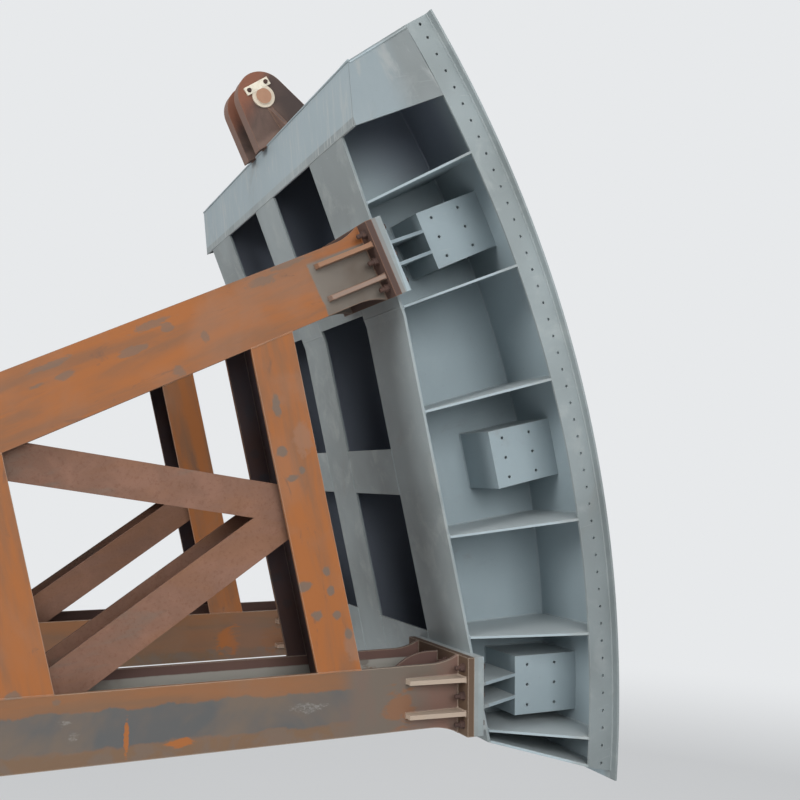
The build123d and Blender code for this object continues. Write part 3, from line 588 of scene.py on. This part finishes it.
def copies(model, name, places):
    """Copies of a fastener at places, each a point and the way it stands; the model itself is used up."""
    made = []
    for where, way in places:
        alone()
        model.select_set(True)
        bpy.context.view_layer.objects.active = model
        bpy.ops.object.duplicate(linked=False)
        copy = bpy.context.object
        copy.rotation_euler = Vector(way).to_track_quat("Z", "Y").to_euler()
        copy.location = where
        made.append(settle("copy"))
    bpy.data.objects.remove(model)
    return gather(name, made)


def arm_bolt_places(angle, frame_y):
    """Nuts of one arm's end plate: three outside each flange, two between flange and web."""
    places = []
    back = -direction(angle)
    for side in (-1, 1):
        for offset, rows in ((OUTER_COLUMN, OUTER_ROWS), (INNER_COLUMN, INNER_ROWS)):
            for row in rows:
                places.append((at(END_PLATE_R, angle, frame_y + side * offset, row), back))
    return places


def pad_head_places(angle, frame_y, side):
    """Heads of the outermost bolts, behind the pad's overhang."""
    y = frame_y + side * OUTER_COLUMN
    return [(at(PAD_BACK_R, angle, y, row), direction(angle)) for row in OUTER_ROWS]


def cap_places(frame_y):
    """Bolt heads in a ring on both caps of one frame's pin."""
    places = []
    for side in (-1, 1):
        for step in range(CAP_BOLTS):
            spoke = direction(step * 360 / CAP_BOLTS + CAP_BOLT_START) * CAP_BOLT_RING
            places.append((Vector((AXIS_X, frame_y + side * PIN_CAP_FACE, 0)) + spoke, (0, side, 0)))
    return places


def keeper_places():
    """Heads of the keeper's two bolts, one to each side of the pin."""
    ends = (LUG_PIN_S - KEEPER_BOLT_SPACING, LUG_PIN_S + KEEPER_BOLT_SPACING)
    return [(at(s, TOP_ANGLE, MID_Y - KEEPER_FACE, KEEPER_BOLT_H), (0, -1, 0)) for s in ends]


# Node helpers
def node(tree, kind, values=None, **settings):
    """Shader node with its sockets linked or set."""
    made = tree.nodes.new("ShaderNode" + kind)
    for name, value in settings.items():
        setattr(made, name, value)
    for socket, value in (values or {}).items():
        if isinstance(value, bpy.types.NodeSocket):
            tree.links.new(value, made.inputs[socket])
        else:
            made.inputs[socket].default_value = value
    return made


def place(tree):
    """Coordinates in the frame of the part."""
    return node(tree, "TexCoord").outputs["Object"]


def turned(tree, angle, stretch=(1, 1, 1)):
    """Coordinates about the trunnion axis with x along a direction of the side view."""
    a = radians(angle)
    shift = (-AXIS_X * cos(a), 0, AXIS_X * sin(a))
    straight = node(tree, "Mapping", {"Vector": place(tree), "Rotation": (0, a, 0), "Location": shift})
    scaled = node(tree, "Mapping", {"Vector": straight.outputs[0], "Scale": stretch})
    return scaled.outputs[0]


def noise(tree, vector, scale, detail=4.0, roughness=0.6, distortion=0.0):
    """Cloudy pattern around 0.5."""
    values = {"Vector": vector, "Scale": scale, "Detail": detail}
    values.update({"Roughness": roughness, "Distortion": distortion})
    return node(tree, "TexNoise", values).outputs["Fac"]


def fade(tree, value, low, high):
    """Smooth step of a value from 0 at low to 1 at high."""
    values = {"Value": value, "From Min": low, "From Max": high}
    return node(tree, "MapRange", values, interpolation_type="SMOOTHSTEP").outputs[0]


def length(tree, vector):
    """Distance from the origin of some coordinates."""
    return node(tree, "VectorMath", {0: vector}, operation="LENGTH").outputs["Value"]


def calc(tree, operation, first, second=0.0, third=0.0):
    """Sum, product or the like of values and sockets."""
    made = node(tree, "Math", operation=operation)
    for socket, value in zip(made.inputs, (first, second, third)):
        if isinstance(value, bpy.types.NodeSocket):
            tree.links.new(value, socket)
        else:
            socket.default_value = value
    return made.outputs[0]


def times(tree, *values):
    """Product of several values."""
    made = values[0]
    for value in values[1:]:
        made = calc(tree, "MULTIPLY", made, value)
    return made


def blend(tree, factor, first, second):
    """Mix of two colours, the second one where the factor is 1."""
    return node(tree, "MixRGB", {"Fac": factor, "Color1": first, "Color2": second}).outputs[0]


def coat(tree, colour, tone, depth, *masks):
    """The colour with a tone over it where every mask is 1, as strong as depth."""
    return blend(tree, times(tree, *masks, depth), colour, tone)


def split(tree, vector):
    """A vector's three parts."""
    made = node(tree, "SeparateXYZ", {"Vector": vector})
    return made.outputs[0], made.outputs[1], made.outputs[2]


def beside(tree, wide, middle):
    """Distance across the leaf from a plane."""
    return calc(tree, "ABSOLUTE", calc(tree, "SUBTRACT", wide, middle))


def patch(tree, bar, ragged, middle, half):
    """1 inside a patch placed on a bar's side view, with a ragged edge."""
    scale = (1 / half[0], 0, 1 / half[1])
    shift = (-middle[0] / half[0], 0, -middle[1] / half[1])
    local = node(tree, "Mapping", {"Vector": bar, "Scale": scale, "Location": shift}).outputs[0]
    return fade(tree, calc(tree, "ADD", length(tree, local), ragged), 1.15, 0.7)


def stretched(tree, bar):
    """Coordinates for wear that runs along a bar."""
    return node(tree, "Mapping", {"Vector": bar, "Scale": (9, 9, 22)}).outputs[0]


def patches(tree, bar, ragged, spots):
    """1 inside any of several patches."""
    made = 0.0
    for middle, half in spots:
        made = calc(tree, "MAXIMUM", patch(tree, bar, ragged, middle, half), made)
    return made


def edge_wear(tree, radius):
    """1 near sharp edges, where the rounded normal leaves the flat one."""
    rounded = node(tree, "Bevel", {"Radius": radius}, samples=4).outputs[0]
    flat = node(tree, "NewGeometry").outputs["Normal"]
    dot = node(tree, "VectorMath", {0: rounded, 1: flat}, operation="DOT_PRODUCT").outputs["Value"]
    return fade(tree, dot, 0.995, 0.85)


def finish_steel(tree, material, colour, roughness, height, gloss):
    """Joins colour, roughness and height to the shader, with softly rounded edges."""
    shader = tree.nodes["Principled BSDF"]
    shader.inputs["Specular IOR Level"].default_value = gloss
    tree.links.new(colour, shader.inputs["Base Color"])
    tree.links.new(roughness, shader.inputs["Roughness"])
    soft = node(tree, "Bevel", {"Radius": EDGE_ROUNDING}, samples=4).outputs[0]
    grain = {"Height": height, "Distance": GRAIN_DEPTH, "Strength": 0.6}
    bump = node(tree, "Bump", {"Normal": soft, **grain})
    tree.links.new(bump.outputs[0], shader.inputs["Normal"])
    return material


def new_material(name):
    """Material with its own shader nodes, and their tree."""
    material = bpy.data.materials.new(name)
    material.use_nodes = True
    return material, material.node_tree


# Finishes
def leaf_finish(name, streaks=0.0, dirt=0.25, pad=None):
    """Pale blue-grey coat, rolled and brushed and streaky on the top box, with painted light in the pockets
    and painted shade on the pad, box sides, strip, bays and top pocket.
    """
    material, tree = new_material(name)
    spot = place(tree)
    _, wide, high = split(tree, spot)
    from_middle = beside(tree, wide, MID_Y)
    clouds = noise(tree, spot, 1.1, 3.0, 0.55)
    blotches = noise(tree, spot, 4.5, 5.0, 0.6, 0.4)
    colour = blend(tree, fade(tree, clouds, 0.36, 0.64), LEAF_PAINT, LEAF_DARK)
    colour = coat(tree, colour, LEAF_PALE, 0.45, fade(tree, blotches, 0.5, 0.72))
    # Painted light: lighter, bluer paint in the side pockets behind the rear flanges
    pocket = fade(tree, from_middle, *POCKET_PAINTED_LIGHT_SPAN)
    behind = behind_rear(tree)
    colour = coat(tree, colour, POCKET_PAINTED_LIGHT, 0.8, pocket, behind)
    if streaks:
        brush = noise(tree, turned(tree, TOP_ANGLE, (5.0, 26.0, 2.6)), 1.0, 4.0, 0.65, 0.5)
        colour = coat(tree, colour, LEAF_PALE, streaks, fade(tree, brush, 0.5, 0.68))
    colour = leaf_wear(tree, colour, spot, dirt)
    # Painted shade on the top box's slanted side plates
    if streaks:
        slanted_painted_shade = fade(tree, from_middle, BOX_SIDE - 0.012, BOX_SIDE - 0.002)
        colour = coat(tree, colour, SHADOW, 0.36, slanted_painted_shade)
    # Painted shade down the side strip, deepest at its foot
    strip = fade(tree, from_middle, LEAF_HALF - 0.01, LEAF_HALF)
    colour = coat(tree, colour, SHADOW, 0.26, strip, fade(tree, high, *STRIP_PAINTED_SHADE))
    if pad:
        along = split(tree, turned(tree, pad))[0]
        clear = PAD_BACK_R - PAD_CLEAR
        shaded = fade(tree, along, clear + PAD_CLEAR_BLUR, clear - PAD_CLEAR_BLUR)
        colour = coat(tree, colour, PAD_SHADE, PAD_SHADE_DEPTH[pad], shaded)
    # Painted shade inside the bays and in the top pocket
    colour = blend(tree, painted_shade_inside(tree, from_middle, behind), colour, BAY_PAINTED_SHADE)
    roughness = calc(tree, "MULTIPLY_ADD", blotches, 0.25, 0.4)
    fine = noise(tree, spot, 160.0, 2.0, 0.5)
    height = calc(tree, "MULTIPLY_ADD", fine, 0.12, times(tree, blotches, 0.4))
    return finish_steel(tree, material, colour, roughness, height, PAINT_GLOSS)


def leaf_wear(tree, colour, spot, dirt):
    """Grey rubs, light scratches, specks, dust and painted top light on upward faces, and pale edges."""
    rubs = noise(tree, spot, 2.2, 6.0, 0.7, 0.8)
    colour = coat(tree, colour, LEAF_DIRT, dirt, fade(tree, rubs, 0.58, 0.74))
    scratches = noise(tree, turned(tree, BISECTOR, (3.0, 3.0, 60.0)), 1.0, 3.0, 0.6, 1.5)
    colour = coat(tree, colour, LEAF_PALE, 0.3, fade(tree, scratches, 0.66, 0.72))
    specks = noise(tree, spot, 48.0, 3.0, 0.7)
    colour = coat(tree, colour, LEAF_DIRT, 0.3, fade(tree, specks, 0.66, 0.74))
    # Dust and painted top light on faces that look up
    colour = coat(tree, colour, LEAF_DUST_AND_LIGHT, 0.6, upward_dust_and_light(tree))
    return coat(tree, colour, LEAF_PALE, 0.4, edge_wear(tree, 0.006))


def upward_dust_and_light(tree):
    """1 on surfaces that face up, where dust settles and a paler tone is painted as light from above."""
    return fade(tree, split(tree, node(tree, "NewGeometry").outputs["Normal"])[2], 0.6, 0.9)


def past(tree, normal, reach, side=1):
    """1 beyond a line of the side view, given by its normal's angle and reach, or short of it for side -1."""
    value = split(tree, turned(tree, normal))[0]
    start, end = CHANGE
    return fade(tree, value, reach + side * start, reach + side * end)


def behind_rear(tree):
    """1 on what lies between the leaf's rear flanges and the skin's inner face."""
    beyond = [past(tree, normal, reach + FLANGE_T - SHORT) for normal, reach in (REAR_LOWER, REAR_UPPER)]
    flat = node(tree, "Mapping", {"Vector": turned(tree, 0), "Scale": (1, 0, 1)}).outputs[0]
    within_skin = fade(tree, length(tree, flat), SKIN_INNER + SHORT, SKIN_INNER + SHORT / 2)
    return times(tree, calc(tree, "MAXIMUM", *beyond), within_skin)


def painted_shade_inside(tree, from_middle, behind):
    """1 where painted shade darkens the inside of the bays and the inner part of the top pocket."""
    floor_angle, floor_reach = FLOOR_NORMAL
    box_angle, box_reach = BOX_REAR
    inner = times(
        tree,
        behind,
        past(tree, box_angle, box_reach + FLANGE_T - SHORT),
        past(tree, TOP_ANGLE + 90, SHORT - PLATE_T, -1),
        past(tree, floor_angle, floor_reach + PLATE_T - SHORT),
    )
    bays = fade(tree, from_middle, WEB_OFFSET - 0.008, WEB_OFFSET - 0.012)
    # Painted shade in the top pocket above the top rib, deepest in its corner
    top_rib = RIB_ANGLES[0]
    above = past(tree, top_rib + 90, 0.02)
    pocket = fade(tree, from_middle, *TOP_POCKET_PAINTED_SHADE)
    corner = fade(tree, split(tree, turned(tree, top_rib + 45))[0], *CORNER_PAINTED_SHADE)
    return times(tree, inner, calc(tree, "MAXIMUM", bays, times(tree, above, pocket, corner)))


def primer(tree, spot, angle):
    """Orange primer rolled on along a bar, browner in sweeps and paler in clouds."""
    sweep = noise(tree, turned(tree, angle, (1.3, 6.0, 9.0)), 1.0, 5.0, 0.6, 0.3)
    clouds = noise(tree, spot, 1.7, 4.0, 0.6, 0.4)
    colour = blend(tree, fade(tree, sweep, 0.38, 0.68), ORANGE, ORANGE_BROWN)
    colour = coat(tree, colour, ORANGE_PALE, 0.55, fade(tree, clouds, 0.48, 0.72))
    stain = noise(tree, turned(tree, angle, (2.0, 4.0, 7.0)), 1.6, 5.0, 0.7, 0.8)
    return coat(tree, colour, BARE_BROWN, 0.5, fade(tree, stain, 0.60, 0.70)), sweep, clouds


def primed(tree, material, colour, spot, sweep, clouds):
    """Gives a primed bar its roughness and grain."""
    roughness = calc(tree, "MULTIPLY_ADD", sweep, 0.2, 0.5)
    height = calc(tree, "MULTIPLY_ADD", noise(tree, spot, 130.0, 2.0, 0.5), 0.15, times(tree, clouds, 0.5))
    return finish_steel(tree, material, colour, roughness, height, PRIMER_GLOSS)


def moved(spots, shift, flipped=False):
    """The same patches for a bar whose wear is moved, also flipped across it there."""
    turn = -1 if shift and flipped else 1
    return [((middle[0] + shift, turn * middle[1]), half) for middle, half in spots]


def inner_side(tree, off_frame):
    """1 between the flanges of an arm or strut, their inner faces with it."""
    return fade(tree, off_frame, ARM_INNER_FACE + 0.0015, ARM_INNER_FACE + 0.0005)


class ArmPlaces:
    """Places about one arm, and the noises that its finish goes by."""

    def __init__(self, tree, angle, frame_y, clouds):
        self.bar = turned(tree, angle)
        self.along, wide, self.across = split(tree, self.bar)
        self.off_frame = beside(tree, wide, frame_y)
        self.clouds = clouds
        self.wander = noise(tree, self.bar, 6.0, 5.0, 0.65, 0.5)
        streaky = noise(tree, stretched(tree, self.bar), 1.0, 6.0, 0.7, 0.6)
        self.ragged = calc(tree, "MULTIPLY_ADD", streaky, 3.2, -1.5)


def lower_faces(tree, colour, arm, shift):
    """Lower arm's outer faces: a band of mill scale, rusty steel below it, orange patches and pale scuffs."""
    colour = blend(tree, 0.5, colour, LOWER_BROWN)
    level = calc(tree, "ADD", arm.across, calc(tree, "MULTIPLY_ADD", arm.wander, 0.09, -0.045))
    below = fade(tree, level, BAND_FOOT + BAND_FOOT_BLUR, BAND_FOOT - BAND_FOOT_BLUR)
    rusty = blend(tree, fade(tree, arm.wander, 0.42, 0.56), BARE_STEEL, LOWER_BROWN)
    colour = coat(tree, colour, rusty, 0.75, below)
    over_foot = fade(tree, level, BAND_FOOT - BAND_FOOT_BLUR, BAND_FOOT + BAND_FOOT_BLUR)
    under_top = fade(tree, level, BAND_TOP + BAND_TOP_BLUR, BAND_TOP - BAND_TOP_BLUR)
    scale = blend(tree, fade(tree, arm.clouds, 0.4, 0.62), MILL_SCALE, BARE_STEEL)
    colour = coat(tree, colour, scale, SCALE_FAR if shift else SCALE_NEAR, over_foot, under_top)
    colour = blend(tree, patches(tree, arm.bar, arm.ragged, moved(LOWER_ORANGE, shift)), colour, ORANGE)
    if shift:
        return colour
    chalk = noise(tree, stretched(tree, arm.bar), 4.0, 6.0, 0.75, 1.2)
    scuffs = patches(tree, arm.bar, arm.ragged, LOWER_SCUFFS)
    return coat(tree, colour, SCUFF, 0.6, scuffs, fade(tree, chalk, 0.42, 0.66))


def lower_trough(tree, colour, arm, inside, shift):
    """Lower arm between its flanges: brown, and a pale tone of dust and painted light above the near arm's
    web.
    """
    colour = blend(tree, inside, colour, blend(tree, arm.clouds, END_BROWN, PINK_BROWN))
    if shift:
        return colour
    flange = fade(tree, arm.off_frame, ARM_INNER_FACE - 0.005, ARM_INNER_FACE - 0.003)
    web = fade(tree, arm.across, 0.02, 0.012)
    level = calc(tree, "MULTIPLY_ADD", arm.wander, 0.01, arm.across)
    # Dust and painted light on the web's top face and the flange faces just above it
    dust_and_light_mask = times(
        tree,
        inside,
        calc(tree, "MAXIMUM", flange, web),
        fade(tree, arm.across, 0.0, 0.006),
        fade(tree, level, DUST_AND_LIGHT_TOP + DUST_AND_LIGHT_BLUR, DUST_AND_LIGHT_TOP - DUST_AND_LIGHT_BLUR),
    )
    return coat(tree, colour, TROUGH_DUST_AND_LIGHT, 0.95, dust_and_light_mask, fade(tree, arm.clouds, 0.2, 0.45))


def arm_finish(side, level, angle, frame_y, shift):
    """Arm: orange primer with worn patches, a bare end with ribs and plate, and the lower arm's own wear."""
    material, tree = new_material(side + level + "_primer")
    spots, bare_from, soft, bare_tone, plate_tone, edge_tone = ARM_LOOKS[level]
    spot = place(tree)
    colour, sweep, clouds = primer(tree, spot, angle)
    arm = ArmPlaces(tree, angle, frame_y, clouds)
    worn = patches(tree, arm.bar, arm.ragged, moved(spots, shift, flipped=True))
    border = calc(tree, "ADD", arm.along, calc(tree, "MULTIPLY_ADD", arm.wander, 0.05, -0.025))
    bare = fade(tree, border, bare_from - soft, bare_from + soft)
    if level == "upper":
        below = fade(tree, arm.across, BARE_TOP + BARE_TOP_BLUR, BARE_TOP - BARE_TOP_BLUR)
        bare = times(tree, bare, below)
    if shift:
        bare = times(tree, bare, BARE_FAR)
    bare_look = blend(tree, fade(tree, clouds, 0.4, 0.6), BARE_STEEL, bare_tone)
    if level == "upper":
        colour = coat(tree, colour, BARE_STEEL, 0.6, worn)
        colour = blend(tree, bare, colour, bare_look)
        rib_tone = blend(tree, fade(tree, arm.across, -0.02, 0.02), RIB_PINK, RIB_ORANGE)
        # Upward faces of the end ribs paler: dust and painted top light
        rib_look = blend(tree, upward_dust_and_light(tree), rib_tone, ORANGE_PALE)
    else:
        inside = inner_side(tree, arm.off_frame)
        colour = lower_faces(tree, colour, arm, shift)
        colour = lower_trough(tree, colour, arm, inside, shift)
        colour = coat(tree, colour, BARE_STEEL, 0.6, worn)
        colour = blend(tree, times(tree, bare, calc(tree, "SUBTRACT", 1.0, inside)), colour, bare_look)
        colour = coat(tree, colour, ORANGE_BROWN, 0.8, patches(tree, arm.bar, arm.ragged, LOWER_ORANGE_END))
        rib_look = CREAM
    ribs = fade(tree, arm.off_frame, ARM_HALF_DEPTH + 0.004, ARM_HALF_DEPTH + 0.01)
    colour = coat(tree, colour, rib_look, 0.85, bare, ribs)
    plate = fade(tree, arm.along, END_PLATE_R - 0.003, END_PLATE_R - 0.001)
    colour = blend(tree, plate, colour, blend(tree, clouds, PLATE_BROWN, plate_tone))
    colour = coat(tree, colour, edge_tone, 0.75, edge_wear(tree, 0.01))
    return primed(tree, material, colour, spot, sweep, clouds)


def strut_finish(name, frame_y, shift):
    """Strut: orange flanges with round bare spots and pale edges, web and inner sides in dark steel deepened
    with painted shade.
    """
    material, tree = new_material(name)
    spot = place(tree)
    bar = turned(tree, BISECTOR)
    wide = split(tree, bar)[1]
    colour, sweep, clouds = primer(tree, spot, BISECTOR + 90)
    ragged = calc(tree, "MULTIPLY_ADD", noise(tree, bar, 20.0, 5.0, 0.7), 1.8, -0.85)
    colour = coat(tree, colour, ORANGE_PALE, 0.7, patches(tree, bar, ragged, moved(STRUT_PALE, shift)))
    worn = patches(tree, bar, ragged, moved(STRUT_PATCHES, shift, flipped=True))
    colour = coat(tree, colour, BARE_STEEL, 0.85, worn)
    cells = node(tree, "TexVoronoi", {"Vector": spot, "Scale": 3.6, "Randomness": 1.0})
    wobble = times(tree, noise(tree, spot, 14.0, 3.0), 0.25)
    round_spots = fade(tree, calc(tree, "ADD", cells.outputs["Distance"], wobble), 0.27, 0.22)
    some = fade(tree, split(tree, cells.outputs["Color"])[0], 0.62, 0.66)
    colour = coat(tree, colour, BARE_STEEL, 0.7, round_spots, some)
    # Dark steel with painted shade on the web and the flanges' inner sides
    shade = blend(tree, fade(tree, clouds, 0.4, 0.65), STRUT_SHADE, STRUT_SHADE_BROWN)
    colour = coat(tree, colour, shade, 0.9, inner_side(tree, beside(tree, wide, frame_y)))
    colour = coat(tree, colour, CREAM, 0.7, edge_wear(tree, 0.007))
    return primed(tree, material, colour, spot, sweep, clouds)


def rust_base(name, base, light):
    """Rusted or dull steel: a new material, its clouds and grain, and two tones in the clouds."""
    material, tree = new_material(name)
    spot = place(tree)
    clouds = noise(tree, spot, 5.0, 6.0, 0.65, 0.6)
    grain = noise(tree, spot, 60.0, 4.0, 0.7)
    return material, tree, clouds, grain, blend(tree, fade(tree, clouds, 0.35, 0.7), base, light)


def rusted(tree, material, colour, clouds, grain):
    """Gives rusted steel its roughness and grain."""
    roughness = calc(tree, "MULTIPLY_ADD", grain, 0.25, 0.55)
    height = calc(tree, "ADD", times(tree, grain, 0.6), clouds)
    return finish_steel(tree, material, colour, roughness, height, PRIMER_GLOSS)


def rust_finish(name, base, light, streak=0.0):
    """Steel in two tones with rust in its grain, and primer streaks on the braces."""
    material, tree, clouds, grain, colour = rust_base(name, base, light)
    if streak:
        sweep = noise(tree, turned(tree, BISECTOR, (1.5, 4.0, 5.0)), 1.0, 5.0, 0.6, 0.4)
        colour = coat(tree, colour, ORANGE_BROWN, streak, fade(tree, sweep, 0.48, 0.66))
        colour = coat(tree, colour, BARE_STEEL, streak, fade(tree, sweep, 0.44, 0.34))
    colour = coat(tree, colour, RUST, 0.35, fade(tree, grain, 0.5, 0.7))
    colour = coat(tree, colour, light, 0.35, edge_wear(tree, 0.006))
    return rusted(tree, material, colour, clouds, grain)


def lug_finish():
    """Hoist lug: dark rust, redder at the head, darker in front with painted shadow, its rear edges and foot
    paler.
    """
    material, tree, clouds, grain, colour = rust_base("lug_rust", LUG_BROWN, LUG_LIGHT)
    along, _, above = split(tree, turned(tree, TOP_ANGLE))
    loose = calc(tree, "MULTIPLY_ADD", clouds, 0.16, -0.08)
    head = calc(tree, "ADD", calc(tree, "MULTIPLY_ADD", along, -HEAD_SLOPE, above), loose)
    over_pin = HEAD_SLOPE * LUG_PIN_S
    colour = blend(tree, fade(tree, head, HEAD_FROM - over_pin, HEAD_TO - over_pin), colour, LUG_RED)
    # Painted shadow: darker at the front, low on the cheeks
    front = fade(tree, along, LUG_PIN_S, LUG_PIN_S + 0.12)
    colour = coat(tree, colour, LUG_PAINTED_SHADOW, 0.85, front, fade(tree, above, 0.4, 0.2))
    facing = split(tree, node(tree, "NewGeometry").outputs["Normal"])[0]
    colour = coat(tree, colour, LUG_PALE, 0.8, fade(tree, facing, -0.5, -0.75))
    foot = fade(tree, calc(tree, "ADD", above, loose), 0.09, 0.04)
    colour = coat(tree, colour, LUG_PALE, 0.6, foot)
    colour = coat(tree, colour, ORANGE_PALE, 0.7, edge_wear(tree, 0.01))
    return rusted(tree, material, colour, clouds, grain)


def pin_finish():
    """Hoist pin: rusty end face inside a pale turned ring."""
    material, tree = new_material("pin_face")
    shift = (-LUG_PIN_S, 0, -LUG_PIN_H)
    local = node(tree, "Mapping", {"Vector": turned(tree, TOP_ANGLE), "Scale": (1, 0, 1), "Location": shift})
    clouds = noise(tree, place(tree), 18.0, 4.0, 0.6)
    face = blend(tree, clouds, FACE_RUST, FACE_LIGHT)
    ring = blend(tree, clouds, RING_TAN, RING_BROWN)
    colour = blend(tree, fade(tree, length(tree, local.outputs[0]), PIN_FACE_R, PIN_RING_R), face, ring)
    roughness = calc(tree, "MULTIPLY_ADD", clouds, 0.2, 0.45)
    return finish_steel(tree, material, colour, roughness, clouds, PAINT_GLOSS)


def dress():
    """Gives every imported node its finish."""
    leaf = leaf_finish("leaf_paint")
    finishes = {
        "top_box": leaf_finish("top_paint", streaks=0.75, dirt=0.35),
        "hoist_keeper": rust_finish("keeper_steel", KEEPER_CREAM, KEEPER_LIGHT),
        "hoist_lug": lug_finish(),
        "hoist_pin": pin_finish(),
    }
    brace = rust_finish("brace_primer", BRACE_BROWN, BRACE_LIGHT, streak=0.45)
    pin = rust_finish("pin_steel", PIN_STEEL, PIN_LIGHT)
    for side, _, frame_y, shift in FRAMES:
        for level, angle, _ in ARMS:
            arm = side + level + "_arm"
            finishes[arm] = arm_finish(side, level, angle, frame_y, shift)
            finishes[arm + "_pad"] = leaf_finish(arm + "_pad_paint", pad=angle)
        strut = strut_finish(side + "strut_primer", frame_y, shift)
        finishes[side + "trunnion_hub"] = finishes[side + "upper_arm"]
        finishes[side + "main_strut"] = strut
        finishes[side + "rear_strut"] = strut
        finishes[side + "mid_brace"] = brace
        finishes[side + "diagonal_brace"] = brace
        finishes[side + "trunnion_pin"] = pin
    for name, thing in NODES.items():
        thing.data.materials.clear()
        thing.data.materials.append(finishes.get(name, leaf))
    return finishes, leaf


def add_welds(finishes, leaf):
    """Weld beads as one piece for each stretch of plate that they lie on."""
    for side, sign, _, _ in FRAMES:
        finished(gather(side + "pocket_welds", pocket_welds(sign)), "gate", leaf)
    finished(gather("rear_face_welds", rear_welds()), "gate", leaf)
    finished(gather("lug_welds", lug_welds()), "gate", finishes["hoist_lug"])
    for side, _, frame_y, _ in FRAMES:
        for level, angle, slot in ARMS:
            arm = side + level + "_arm"
            finished(gather(arm + "_welds", arm_welds(angle, frame_y)), "gate", finishes[arm])
        struts = gather(side + "strut_welds", strut_welds(frame_y))
        finished(struts, "gate", finishes[side + "main_strut"])
        bracket = gather(side + "bracket_welds", bracket_welds(frame_y))
        finished(bracket, "anchorage", leaf)


def add_fasteners(pin):
    """Nuts on the arms' end plates, heads behind the pads, and bolts of keeper and pin caps."""
    dark = rust_finish("nut_steel", NUT_DARK, NUT_BROWN)
    for side, sign, frame_y, _ in FRAMES:
        for level, angle, _ in ARMS:
            arm = side + level + "_arm"
            nuts = copies(fastener(ARM_BOLT, ARM_BOLT_STUB), arm + "_nuts", arm_bolt_places(angle, frame_y))
            heads = copies(fastener(ARM_BOLT, 0), arm + "_heads", pad_head_places(angle, frame_y, sign))
            finished(nuts, "gate", dark)
            finished(heads, "gate", dark)
        caps = copies(fastener(CAP_BOLT, 0), side + "cap_bolts", cap_places(frame_y))
        finished(caps, "anchorage", pin)
    keeper = copies(fastener(KEEPER_BOLT, 0), "keeper_bolts", keeper_places())
    finished(keeper, "gate", dark)


# Room, light and camera
def room():
    """Floor, and a world that lights softly and shows the backdrop."""
    bpy.ops.mesh.primitive_plane_add(size=FLOOR_SIZE, location=FLOOR_AT)
    floor = bpy.context.object
    floor.name = "floor"
    floor.data.materials.append(floor_finish())
    world = bpy.data.worlds.new("studio")
    bpy.context.scene.world = world
    world.use_nodes = True
    tree = world.node_tree
    tree.nodes.clear()
    lit = node(tree, "Background", {"Color": WORLD_COLOUR, "Strength": WORLD_LIGHT})
    shown = node(tree, "Background", {"Color": BACKDROP, "Strength": 1.0})
    both = node(tree, "MixShader", {0: seen_directly(tree), 1: lit.outputs[0], 2: shown.outputs[0]})
    tree.links.new(both.outputs[0], node(tree, "OutputWorld").inputs[0])


def seen_directly(tree):
    """1 for rays from the eye, or by way of a reflection or glass."""
    path = node(tree, "LightPath").outputs
    mirrored = calc(tree, "MAXIMUM", path["Is Glossy Ray"], path["Is Transmission Ray"])
    return calc(tree, "MAXIMUM", path["Is Camera Ray"], mirrored)


def floor_finish():
    """Pale floor that keeps the shadow and runs into the backdrop far from the object."""
    material, tree = new_material("floor_finish")
    spot = place(tree)
    shade = noise(tree, spot, 0.6, 3.0, 0.5)
    shader = tree.nodes["Principled BSDF"]
    tree.links.new(blend(tree, shade, FLOOR_DARK, FLOOR_LIGHT), shader.inputs["Base Color"])
    shader.inputs["Roughness"].default_value = 0.9
    shader.inputs["Specular IOR Level"].default_value = 0.0
    glowing = calc(tree, "MAXIMUM", fade(tree, length(tree, spot), FADE_NEAR, FADE_FAR), NEAR_GLOW)
    far = times(tree, glowing, seen_directly(tree))
    glow = node(tree, "Emission", {"Color": BACKDROP, "Strength": 1.0})
    both = node(tree, "MixShader", {0: far, 1: shader.outputs[0], 2: glow.outputs[0]})
    tree.links.new(both.outputs[0], tree.nodes["Material Output"].inputs[0])
    return material


def softbox(name, where, aim, size, energy, colour):
    """Square lamp that faces a point."""
    data = bpy.data.lights.new(name, "AREA")
    data.size = size
    data.energy = energy
    data.color = colour
    lamp = bpy.data.objects.new(name, data)
    bpy.context.scene.collection.objects.link(lamp)
    lamp.location = where
    lamp.rotation_euler = (Vector(aim) - Vector(where)).to_track_quat("-Z", "Y").to_euler()


def camera():
    """The photograph's viewing angle."""
    data = bpy.data.cameras.new("camera")
    data.lens = CAMERA_LENS
    data.shift_x, data.shift_y = CAMERA_SHIFT
    eye = bpy.data.objects.new("camera", data)
    bpy.context.scene.collection.objects.link(eye)
    aim = Euler((radians(90 + CAMERA_TILT), 0, -radians(CAMERA_HEADING))).to_matrix()
    eye.rotation_euler = (aim @ Matrix.Rotation(radians(CAMERA_ROLL), 3, "Z")).to_euler()
    eye.location = CAMERA_AT
    bpy.context.scene.camera = eye


camera()
room()
for lamp_values in LAMPS:
    softbox(*lamp_values)
finishes, leaf = dress()
add_welds(finishes, leaf)
add_fasteners(finishes["near_trunnion_pin"])
bpy.context.scene.view_settings.view_transform = "Standard"
